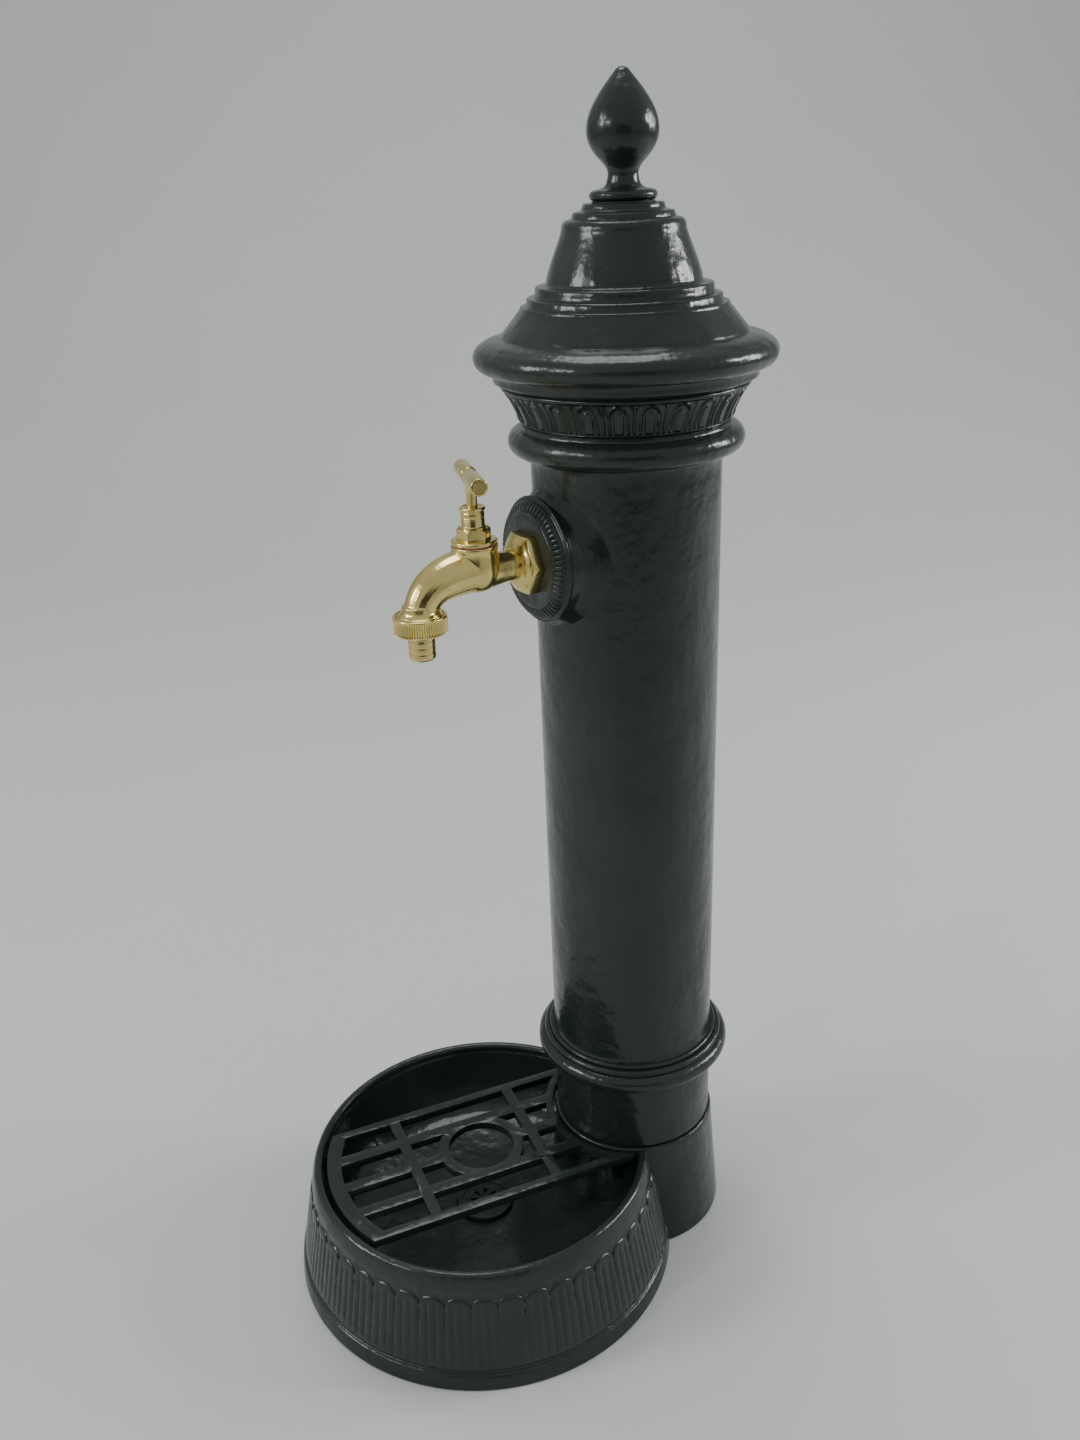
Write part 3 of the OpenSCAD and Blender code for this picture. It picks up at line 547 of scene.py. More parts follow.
class Shop:
    """Makes meshes and puts them into the model."""

    def __init__(self, layout: Layout, palette: Palette) -> None:
        """Keeps what every piece needs.

        Args:
            layout: Shared places.
            palette: Finishes.
        """
        self.layout = layout
        self.palette = palette

    def lathe(self, profile: Sequence[Point], steps: int, closed: bool = False) -> bmesh.types.BMesh:
        """Turns a profile about Z: one sector is spun, then copied round, which is quicker.

        Args:
            profile: Radius and height of each point.
            steps: Steps of the full turn.
            closed: Whether the last point joins the first, as in a ring.

        Returns:
            The turned mesh, in metres, with its faces pointing outwards.
        """
        bm = bmesh.new()
        verts = [bm.verts.new((r * MM, 0, z * MM)) for r, z in profile]
        pairs = list(zip(verts, verts[1:])) + ([(verts[-1], verts[0])] if closed else [])
        edges = [bm.edges.new(pair) for pair in pairs]
        sectors = next(k for k in range(round(math.sqrt(steps)), 0, -1) if steps % k == 0)
        sector = 2 * math.pi / sectors
        about = {"cent": (0, 0, 0), "axis": (0, 0, 1), "dvec": (0, 0, 0)}
        bmesh.ops.spin(bm, geom=verts + edges, angle=sector, steps=steps // sectors, use_merge=sectors == 1,
            **about)
        if sectors > 1:
            wedge = bm.verts[:] + bm.edges[:] + bm.faces[:]
            rest = 2 * math.pi - sector
            bmesh.ops.spin(bm, geom=wedge, angle=rest, steps=sectors - 1, use_duplicate=True, **about)
        bmesh.ops.remove_doubles(bm, verts=bm.verts, dist=8e-7)
        bmesh.ops.dissolve_degenerate(bm, dist=1e-8, edges=bm.edges)
        bmesh.ops.recalc_face_normals(bm, faces=bm.faces)
        return bm

    def reshape(self, bm: bmesh.types.BMesh,
        move: Callable[[float, float, float], tuple[float, float]]) -> None:
        """Moves the points of a turned mesh in their own radial plane.

        Args:
            bm: Mesh turned about Z.
            move: Takes angle, radius and height, in millimetres, and gives the new radius and height.
        """
        for v in bm.verts:
            r = math.hypot(v.co.x, v.co.y)
            if r < 1e-9:
                continue
            new_r, new_z = move(math.atan2(v.co.y, v.co.x), r / MM, v.co.z / MM)
            v.co.x *= new_r * MM / r
            v.co.y *= new_r * MM / r
            v.co.z = new_z * MM

    def place(
        self,
        name: str,
        bm: bmesh.types.BMesh,
        axis: Axis,
        coat: Coat,
        body: str,
        replaces: Sequence[str] = (),
        crease: float = 38.0,
    ) -> bpy.types.Object:
        """Turns a bmesh into a finished piece that rides on a body.

        Args:
            name: Name of the piece.
            bm: Its mesh, about +Z; it is freed.
            axis: Where its axis lies.
            coat: Its finish.
            body: The body it rides on.
            replaces: CAD nodes that it stands for.
            crease: Angle above which an edge stays sharp, in degrees.

        Returns:
            The piece.
        """
        bmesh.ops.transform(bm, matrix=self.layout.matrix(axis), verts=bm.verts)
        mesh = bpy.data.meshes.new(name)
        bm.to_mesh(mesh)
        bm.free()
        return self.adopt(name, mesh, coat, body, replaces, crease)

    def adopt(
        self, name: str, mesh: bpy.types.Mesh, coat: Coat, body: str, replaces: Sequence[str], crease: float
    ) -> bpy.types.Object:
        """Makes an object of a mesh that is already in place.

        Args:
            name: Name of the piece.
            mesh: The mesh.
            coat: Its finish.
            body: The body it rides on.
            replaces: CAD nodes that it stands for.
            crease: Angle above which an edge stays sharp, in degrees.

        Returns:
            The piece.
        """
        mesh.shade_smooth()
        mesh.set_sharp_from_angle(angle=math.radians(crease))
        obj = bpy.data.objects.new(name, mesh)
        bpy.context.scene.collection.objects.link(obj)
        self.palette.dress(obj, coat)
        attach(obj, body)
        if replaces:
            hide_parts(*replaces)
        return obj

    def eased(
        self, node: bpy.types.Object, name: str, coat: Coat, body: str, replaces: Sequence[str], width: float,
        limit: float = 34.0, crease: float = 30.0, corner: float = 0.0,
    ) -> bpy.types.Object:
        """Makes a piece from a copy of a CAD node, with its hard edges eased.

        Args:
            node: The CAD node's object.
            name: Name of the piece.
            coat: Its finish.
            body: The body it rides on.
            replaces: CAD nodes that it stands for.
            width: Width of the eased edge, in millimetres.
            limit: Edges sharper than this many degrees are eased.
            crease: Angle above which an edge stays sharp, in degrees.
            corner: Rounding of the upright corners, in millimetres, made first.

        Returns:
            The piece.
        """
        bm = bmesh.new()
        bm.from_mesh(node.data)
        bmesh.ops.remove_doubles(bm, verts=bm.verts, dist=2e-6)
        bmesh.ops.dissolve_limit(bm, angle_limit=math.radians(1.2), verts=bm.verts, edges=bm.edges)
        if corner:
            upright = [
                e for e in bm.edges
                if len(e.link_faces) == 2 and e.calc_face_angle(0.0) > math.radians(40)
                and math.dist(e.verts[0].co.xy, e.verts[1].co.xy) < 0.01 * MM
            ]
            bmesh.ops.bevel(
                bm, geom=upright, offset=corner * MM, offset_type="OFFSET", segments=4, profile=0.5,
                affect="EDGES", clamp_overlap=True, material=-1,
            )
        hard = [
            e for e in bm.edges
            if len(e.link_faces) == 2 and e.calc_face_angle(0.0) > math.radians(limit)
        ]
        bmesh.ops.bevel(
            bm, geom=hard, offset=width * MM, offset_type="OFFSET", segments=2, profile=0.5,
            affect="EDGES", clamp_overlap=True, material=-1,
        )
        mesh = bpy.data.meshes.new(name)
        bm.to_mesh(mesh)
        bm.free()
        mesh.transform(node.matrix_world)
        return self.adopt(name, mesh, coat, body, replaces, crease)

    def fused(self, bodies: Sequence[bmesh.types.BMesh], voxel: float, rounds: int) -> bpy.types.Mesh:
        """Melts overlapping closed shapes into one skin with soft joints.

        Args:
            bodies: Closed meshes in place; they are freed.
            voxel: Grid of the new skin, in millimetres.
            rounds: Rounds of smoothing.

        Returns:
            The new mesh.
        """
        whole = bmesh.new()
        for bm in bodies:
            part = bpy.data.meshes.new("part")
            bm.to_mesh(part)
            bm.free()
            whole.from_mesh(part)
            bpy.data.meshes.remove(part)
        mesh = bpy.data.meshes.new("fused")
        whole.to_mesh(mesh)
        whole.free()
        holder = bpy.data.objects.new("fused", mesh)
        bpy.context.scene.collection.objects.link(holder)
        remesh = holder.modifiers.new("skin", "REMESH")
        remesh.mode = "VOXEL"
        remesh.voxel_size = voxel * MM
        smooth = holder.modifiers.new("melt", "SMOOTH")
        smooth.factor = 0.5
        smooth.iterations = rounds
        graph = bpy.context.evaluated_depsgraph_get()
        skin = bpy.data.meshes.new_from_object(holder.evaluated_get(graph))
        bpy.data.objects.remove(holder)
        bpy.data.meshes.remove(mesh)
        return skin


# ---------------------------------------------------------------- base


@dataclass
class Basin:
    """Round basin with its reeded skirt, and the pedestal cast with it."""

    shop: Shop
    rim_r: float = 115.3
    foot_r: float = 130.2
    rim_z: float = 80.2
    lip: float = 6.3
    scallops: int = 45
    reeds: int = 135
    reed_low: float = 15.0
    notch_z: float = 57.8
    arch: float = 6.0
    raise_by: float = 1.25
    groove: float = 0.62
    ped_foot: float = 61.2
    ped_top: float = 55.6

    def wall(self, z: float) -> float:
        """Radius of the plain cone of the skirt at a height."""
        return self.foot_r + (self.rim_r - self.foot_r) * z / self.rim_z

    def skirt(self) -> list[Point]:
        """Closed section of the reeded skirt with the rim on top of it.

        Returns:
            The points, outer side first.
        """
        lip = self.lip / 2
        outer = chain(
            [(self.wall(14.3) - 0.34, 14.34)],
            line((self.wall(self.reed_low), self.reed_low), (self.wall(50), 50), 7),
            line((self.wall(52), 52), (self.wall(64), 64), 20),
            line((self.wall(65), 65), (self.wall(73), 73), 4),
        )
        rim = chain(
            curve((self.wall(73), 73), (self.wall(76), 76), (self.rim_r + 0.1, 77), (self.rim_r - 0.4, 78.6),
                5),
            arc((self.rim_r - lip, self.rim_z - lip + 0.1), lip - 0.1, 55, 180, 12),
        )
        back = [
            (self.rim_r - self.lip + 0.1, 74.5), (self.rim_r - self.lip + 2.4, 73.4),
            (self.wall(50) - 3.4, 50),
            (self.wall(14) - 3.4, 14.0),
        ]
        return chain(outer, rim, back)

    def profile(self) -> list[Point]:
        """Closed section of the bowl and its foot, which carry the skirt.

        Returns:
            The points, outer side first.
        """
        bowl_r = self.rim_r - self.lip
        outer = chain(
            [(126.2, 0.6), (126.8, 0)], arc((self.foot_r - 1.2, 1.2), 1.2, -90, 0, 4),
            line((self.foot_r - 0.2, 2.2), (self.wall(9.4), 9.4), 2),
            arc((self.wall(11.2) - 0.3, 11.2), 1.15, -80, 70, 6),
            arc((self.wall(13.3) - 0.5, 13.4), 0.95, -60, 80, 5),
            [(self.wall(15) - 2.2, 15.2), (self.wall(70) - 2.6, 70), (bowl_r + 2.0, 75.6),
                (bowl_r + 0.7, 75.2)],
        )
        inside = chain(
            [(bowl_r - 0.1, 74.3), (bowl_r - 0.6, 72.6)],
            curve((bowl_r - 1.2, 70), (bowl_r - 3.6, 56), (bowl_r - 12, 40), (90.2, 36.0), 22),
            [(89.0, 35.3), (88.0, 34.7)],
            curve((87.2, 34.3), (78, 31.2), (62, 29.6), (44, 29), 10),
            [(30, 28.7), (20.3, 28.6)], arc((20.3, 27.9), 0.7, 90, 180, 3), [(19.6, 27.5), (13.4, 27.5)],
        )
        under = chain(
            [(13.4, 23), (54, 23), (76, 25.3), (94, 31.4), (106, 43), (111.6, 52.2), (114, 52.2)],
            line((114.6, 50), (124, 1.2), 4), [(124.4, 0.4)],
        )
        return chain(outer, inside, under)

    def relief(self, angle: float, r: float, z: float) -> tuple[float, float]:
        """Reeds and scalloped edge of the skirt.

        Args:
            angle: Angle about the basin's axis, in radians.
            r: Radius before the relief.
            z: Height before the relief.

        Returns:
            New radius and height.
        """
        if r < self.wall(z) - 1.5 or z < self.reed_low - 0.1 or z > 73.5:
            return r, z
        group = 2 * math.pi / self.scallops
        v = abs((angle / group) % 1.0 - 0.5) * 2
        u = abs((angle / (2 * math.pi / self.reeds)) % 1.0 - 0.5) * 2
        edge = self.notch_z + self.arch * math.sqrt(max(1 - v**2.3, 0.0))
        mean = 60.0
        if z <= mean:
            new_z = self.reed_low + (z - self.reed_low) * (edge - self.reed_low) / (mean - self.reed_low)
        else:
            new_z = edge + (z - mean) * (73.5 - edge) / (73.5 - mean)
        drop = min(max((z - (mean - 3.2)) / 3.6, 0.0), 1.0)
        shoulder = math.sqrt(max(1 - drop * drop, 0.0))
        foot = smoothstep(self.reed_low, self.reed_low + 2.2, z)
        reed = self.groove * (1 - u**2.4) - self.groove
        cleft = 0.55 * math.exp(-(((1 - v) / 0.10) ** 2)) * smoothstep(44, 57, z)
        out = (self.raise_by * shoulder + (reed * smoothstep(mean - 1.0, mean - 6.5,
            z) - cleft) * shoulder) * foot
        return self.wall(new_z) + out - 0.9 * foot * (1 - smoothstep(62, 70, z)), new_z

    def build(self) -> list[bpy.types.Object]:
        """Builds the basin and its pedestal.

        Returns:
            The pieces.
        """
        bowl = self.shop.lathe(self.profile(), 270, closed=True)
        basin = self.shop.place("basin", bowl, Axis.BASIN, Coat.ENAMEL, "fountain", ["base_casting"])
        band = self.shop.lathe(self.skirt(), self.reeds * 8, closed=True)
        self.shop.reshape(band, self.relief)
        skirt = self.shop.place("reeded_skirt", band, Axis.BASIN, Coat.ENAMEL, "fountain")
        top = self.shop.layout.ground_top
        wall = chain(
            [(56.4, 0.4), (57.2, 0)], arc((self.ped_foot - 1, 1), 1, -90, 0, 4),
            line((self.ped_foot - 0.1, 3), (self.ped_top + 0.7, top - 12), 10),
            curve((self.ped_top + 0.6, top - 10), (self.ped_top + 0.3, top - 4),
                (self.ped_top + 0.4, top - 2.4),
                  (self.ped_top, top - 1.9), 5),
            arc((self.ped_top - 1.8, top - 1.8), 1.8, 0, 90, 6),
            [(31, top), (31, top - 8.7), (49.6, top - 8.7), (49.6, 20), (50.2, 0.4)],
        )
        pedestal = self.shop.place(
            "pedestal", self.shop.lathe(wall, 160, closed=True), Axis.COLUMN, Coat.ENAMEL, "fountain"
        )
        return [basin, skirt, pedestal, *self.lugs(), *self.posts()]

    def lugs(self) -> list[bpy.types.Object]:
        """Lugs in the bowl that carry the grate.

        Returns:
            One piece.
        """
        whole = bmesh.new()
        for side in (-1, 1):
            for centre, reach, angle in ((self.shop.layout.basin_y, 103.6, 24), (0.0, 58.1, 50)):
                bm = self.shop.lathe(chain([(0, 60.4), (5.2, 60.4)], arc((5.4, 73.9), 0.6, 0, 90, 3),
                    [(0, 74.5)]), 24)
                x = reach * math.sin(math.radians(side * angle))
                y = centre - reach * math.cos(math.radians(angle))
                bmesh.ops.transform(bm, matrix=Matrix.Translation((x * MM, y * MM, 0)), verts=bm.verts)
                part = bpy.data.meshes.new("lug")
                bm.to_mesh(part)
                bm.free()
                whole.from_mesh(part)
                bpy.data.meshes.remove(part)
        mesh = bpy.data.meshes.new("grate_lugs")
        whole.to_mesh(mesh)
        whole.free()
        return [self.shop.adopt("grate_lugs", mesh, Coat.ENAMEL, "fountain", (), 38)]

    def posts(self) -> list[bpy.types.Object]:
        """Posts under the bowl that take the ground studs.

        Returns:
            One piece.
        """
        whole = bmesh.new()
        for k in range(4):
            ring = chain([(4.25, 20), (4.25, 0.4), (4.8, 0), (8.4, 0), (9.2, 0.8), (9.2, 40), (4.25, 40)])
            bm = self.shop.lathe(ring, 32, closed=True)
            a = math.radians(45 + 90 * k)
            place = Matrix.Translation((107 * MM * math.cos(a),
                (self.shop.layout.basin_y + 107 * math.sin(a)) * MM, 0))
            bmesh.ops.transform(bm, matrix=place, verts=bm.verts)
            part = bpy.data.meshes.new("post")
            bm.to_mesh(part)
            bm.free()
            whole.from_mesh(part)
            bpy.data.meshes.remove(part)
        mesh = bpy.data.meshes.new("stud_posts")
        whole.to_mesh(mesh)
        whole.free()
        return [self.shop.adopt("stud_posts", mesh, Coat.ENAMEL, "fountain", (), 38)]


# ---------------------------------------------------------------- column


@dataclass
class Column:
    """Column casting with its collars, its boss and the reeded rosette behind the tap."""

    shop: Shop
    low_r: float = 54.1
    top_r: float = 55.5
    boss_r: float = 35.3
    fillet: float = 5.5
    face_s: float = 68.5
    rays: int = 64

    def tube_r(self, z: float) -> float:
        """Radius of the tube at a height."""
        return self.low_r + (self.top_r - self.low_r) * min(max((z - 153) / 387, 0.0), 1.0)

    def profile(self) -> list[Point]:
        """Closed section of the casting.

        Returns:
            The points, outer side first.
        """
        foot, top = self.shop.layout.column_foot, self.shop.layout.column_top
        outer = chain(
            [(50, foot)], arc((52.7, foot + 1.3), 1.3, -90, 0, 4), line((54, 84), (54, 128), 6),
            curve((54, 129.6), (54.6, 131.4), (57.6, 131.8), (59.6, 134.2), 8),
            arc((59.5, 140.2), 6.0, -78, 92, 22),
            arc((58.85, 147.6), 2.3, -55, 115, 9), arc((55.85, 150.7), 1.8, -40, 75, 7),
            curve((54.9, 152.3), (54.2, 153.2), (54.1, 154.4), (54.1, 156.4), 5),
            line((54.1, 160), (self.top_r, 536), 30),
            curve((self.top_r, 538), (self.top_r, 543), (55.6, 545.6), (57.2, 547.6), 8),
            [(58.6, 548.6)],
            arc((60.6, 556.4), 7.5, -92, 84, 26), [(61.0, 564.4), (61.0, 566.0), (60.4, top)],
        )
        inner = [(48, top), (48, foot + 12), (31, foot + 12), (31, foot)]
        return chain(outer, line((60.4, top), (49, top), 2), inner)

    def boss(self) -> bmesh.types.BMesh:
        """Boss that grows out of the tube, with its rosette.

        Returns:
            The mesh about +Z, its foot following the tube's curve.
        """
        flare = [
            (self.boss_r + self.fillet * (1 - math.sin(math.radians(a))),
                self.fillet * (1 - math.cos(math.radians(a))))
            for a in range(0, 91, 9)
        ]
        root = [(r, h - 200.0) for r, h in flare]
        face = self.face_s
        front = chain(
            line((self.boss_r, 56.2), (self.boss_r, 59.2), 2),
            curve((self.boss_r, 59.6), (self.boss_r, 60.3), (36.2, 60.3), (36.4, 61), 4),
            arc((35.9, 62.2), 0.95, -35, 130, 8), [(34.9, 63.3)],
            curve((34.5, 63.5), (34.2, 66.2), (31.4, 68.0), (27.9, 68.3), 12),
            [(27.2, 68.1), (26.8, 68.4)], line((26.2, face), (13.3, face), 5),
        )
        bore = [(13.3, 60), (13.3, 43.7), (24, 43.7), (26, 44.2), (30, 46.5)]
        profile = chain([(40.9, -200.6)], list(reversed(root)), front, bore)
        bm = self.shop.lathe(profile, self.rays * 12, closed=True)
        tap_z = self.shop.layout.tap_z
        for v in bm.verts:
            x, y, s = v.co.x / MM, v.co.y / MM, v.co.z / MM
            tube = self.tube_r(tap_z + y)
            surface = math.sqrt(max(tube * tube - x * x, 1.0))
            r = math.hypot(x, y)
            if s < -100:
                v.co.z = (surface + (s + 200.0) - (0.3 if r > self.boss_r + self.fillet - 0.1 else 0.0)) * MM
            elif 54 < s < 59.5 and r > self.boss_r - 0.1:
                share = (s - 56.2) / 3.0
                low = surface + self.fillet
                v.co.z = max(low + (59.2 - low) * share if low < 59.2 else 59.2 + 0.3 * share, 1.0) * MM
            elif 63.5 < s < 68.25 and r > 27.5:
                ray = 0.5 + 0.5 * math.cos(math.atan2(y, x) * self.rays)
                fade = smoothstep(27.4, 28.8, r) * smoothstep(34.6, 33.4, r)
                v.co.z -= 1.2 * (1 - ray) ** 3 * fade * MM
        bmesh.ops.recalc_face_normals(bm, faces=bm.faces)
        return bm

    def build(self) -> list[bpy.types.Object]:
        """Builds the casting.

        Returns:
            The pieces.
        """
        tube = self.shop.place(
            "column_casting", self.shop.lathe(self.profile(), 224, closed=True), Axis.COLUMN, Coat.ENAMEL,
            "fountain",
            ["column"],
        )
        boss = self.shop.place("tap_boss", self.boss(), Axis.TAP, Coat.ENAMEL, "fountain")
        return [tube, boss, self.lug()]

    def lug(self) -> bpy.types.Object:
        """Lug on the rear wall that holds the riser's clip.

        Returns:
            The piece.
        """
        bm = self.shop.lathe(chain([(4.2, 34), (8.2, 34), (9, 34.8), (9, 50), (4.2, 50)]), 32, closed=True)
        place = Matrix.Translation((0, 0,
            (self.shop.layout.column_foot + 235) * MM)) @ Matrix.Rotation(-math.pi / 2, 4, "X")
        bmesh.ops.transform(bm, matrix=place, verts=bm.verts)
        return self.shop.place("clip_lug", bm, Axis.COLUMN, Coat.ENAMEL, "fountain")


# ---------------------------------------------------------------- cap


@dataclass
class Cap:
    """Cap casting with its arched frieze, its rounded brim and its stepped dome."""

    shop: Shop
    arches: int = 24
    low_z: float = 568.4
    high_z: float = 585.6
    depth: float = 1.25

    def cone_r(self, z: float) -> float:
        """Radius of the frieze's ground at a height."""
        stops = [(567.6, 60.8), (572.5, 61.8), (578.9, 64.7), (585.3, 69.0)]
        for (z0, r0), (z1, r1) in zip(stops, stops[1:]):
            if z <= z1:
                t = (z - z0) / (z1 - z0)
                return r0 + (r1 - r0) * t
        return stops[-1][1]

    def profile(self) -> list[Point]:
        """Closed section of the casting.

        Returns:
            The points, outer side first.
        """
        foot, top = self.shop.layout.column_top, self.shop.layout.cap_top
        outer = chain(
            [(59.6, foot), (60.4, foot + 0.3), (60.8, 567.4)],
            [(self.cone_r(z) - 0.25, z) for z in (568, 570, 572, 574, 576, 578, 580, 582, 584)],
            [(68.6, 584.8), (69.4, 585.3)], arc((69.7, 586.7), 1.25, -60, 70, 6),
            curve((70.6, 588.0), (72.0, 589.2), (73.6, 589.3), (74.9, 590.2), 6),
            curve((75.2, 590.8), (75.2, 593.4), (75.6, 594.6), (77.0, 595.9), 5),
            arc((78.3, 603.3), 7.5, -84, 66, 30),
            curve((80.6, 610.6), (78.4, 612.4), (74.2, 613.0), (70.6, 613.7), 8),
            [(69.7, 613.9), (69.2, 614.6)],
            curve((69.0, 615.2), (66.6, 618.4), (62.2, 623.4), (58.9, 627.6), 14),
            [(58.4, 628.3)], arc((57.0, 628.6), 1.3, 0, 90, 4),
            [(55.2, 629.9), (54.6, 630.6)], [(54.0, 633.8)], arc((52.6, 632.4), 2.0, 20, 88, 7),
            [(50.4, 634.6), (49.8, 635.6), (49.6, 637.0)], arc((47.8, 638.4), 1.7, 10, 88, 6),
            [(45.4, 640.2), (44.2, 640.6), (43.3, 641.5)],
            curve((43.1, 642.6), (42.0, 649), (36.4, 661), (34.3, 667.4), 16),
            curve((34.1, 668.6), (33.9, 671.2), (33.2, 672.2), (31.6, 673.2), 7),
            [(29.4, 673.7), (28.4, 674.1)], arc((26.8, 675.5), 1.3, 35, 60, 2),
            [(27.9, 676.0), (27.3, 677.0)],
            [(25.4, 677.4), (23.6, 677.7), (22.9, 678.3)], line((22.7, 679), (22.3, 680.3), 2),
            [(21.9, 681.1), (21.2, top), (16, top)],
        )
        inner = [
            (5.2, top), (5.2, top - 16), (10, top - 16), (10, 668), (26, 668), (34, 655), (37, 642),
            (41, 636),
            (60, 616), (72, 603), (64, 592.6), (60.5, 584), (56, 570), (42.2, 568), (42.2, 552.2),
            (42.8, 551.6),
            (47.2, 551.6), (47.7, 552.2), (47.7, 566.2), (48.4, foot),
        ]
        return chain(outer, inner)

    def relief(self, angle: float, r: float, z: float) -> tuple[float, float]:
        """Arches, tongues and ribs of the frieze.

        Args:
            angle: Angle about the column's axis, in radians.
            r: Radius before the relief.
            z: Height before the relief.

        Returns:
            New radius and height.
        """
        if r < self.cone_r(z) - 0.6:
            return r, z
        cell = 2 * math.pi / self.arches
        across = ((angle / cell) % 1.0 - 0.5) * cell * self.cone_r(z)
        up = z - self.low_z
        tall = self.high_z - self.low_z
        half = 4.9
        crown = tall - half - 1.2
        if up > crown:
            reach = math.hypot(across, (up - crown) * 1.05)
        else:
            reach = abs(across)
        arch = math.exp(-(((reach - half) / 0.72) ** 2))
        tongue_top = tall - 5.4
        tongue_reach = abs(across) if up < tongue_top - 2.0 else math.hypot(across, up - tongue_top + 2.0)
        tongue = 0.8 * smoothstep(2.9, 1.9, tongue_reach)
        rib_width = 0.42 + 1.5 * smoothstep(tall - 3.4, tall - 0.6, up)
        gap = cell * self.cone_r(z) / 2 - abs(across)
        rib = 0.75 * smoothstep(rib_width + 0.5, rib_width - 0.1, gap)
        height = max(arch, tongue, rib) * self.depth
        height *= smoothstep(-0.3, 0.8, up) * smoothstep(tall + 0.3, tall - 0.5, up)
        return r + height, z

    def build(self) -> list[bpy.types.Object]:
        """Builds the cap.

        Returns:
            The pieces.
        """
        body = self.shop.place(
            "cap_casting", self.shop.lathe(self.profile(), 224, closed=True), Axis.COLUMN, Coat.ENAMEL,
            "cap", ["cap"]
        )
        rows = [(self.cone_r(z) - 0.15, z) for z in [self.low_z - 0.6 + i * 0.55 for i in range(32)]]
        band = chain(rows, [(rows[-1][0] - 2.2, rows[-1][1]), (rows[0][0] - 2.2, rows[0][1])])
        bm = self.shop.lathe(band, 48 * self.arches, closed=True)
        self.shop.reshape(bm, self.relief)
        frieze = self.shop.place("cap_frieze", bm, Axis.COLUMN, Coat.ENAMEL, "cap")
        return [body, frieze]


# ---------------------------------------------------------------- finial


@dataclass
class Finial:
    """Bud finial on its disc, screwed to the cap by a stud."""

    shop: Shop
    foot: float = 682.1
    bud_r: float = 19.4

    def build(self) -> list[bpy.types.Object]:
        """Builds the finial.

        Returns:
            The piece.
        """
        z = self.foot
        outer = chain(
            [(16.4, z)], arc((15.8, z + 2.85), 2.7, -80, 78, 12), [(15.2, z + 5.75)],
            curve((14.2, z + 6.0), (11.6, z + 6.3), (9.7, z + 7.4), (9.1, z + 9.2), 8),
            curve((8.6, z + 11.2), (7.9, z + 13.4), (8.2, z + 15.0), (9.4, z + 16.9), 8),
            curve((9.4, z + 16.9), (12.4, z + 21.4), (self.bud_r - 0.1, z + 25.0), (self.bud_r, z + 34.9),
                16),
            curve((self.bud_r, z + 34.9), (self.bud_r, z + 44.4), (12.0, z + 53.8), (4.4, z + 62.2), 20),
            curve((4.0, z + 62.8), (3.0, z + 64.0), (1.6, z + 64.7), (0, z + 64.8), 6),
        )
        profile = chain([(5.1, z)], outer)
        bm = self.shop.lathe(chain(profile, [(0, z + 14), (5.1, z + 14), (5.1, z)])[:-1], 128, closed=True)
        return [self.shop.place("bud_finial", bm, Axis.COLUMN, Coat.ENAMEL, "finial", ["finial"])]


# ---------------------------------------------------------------- tap


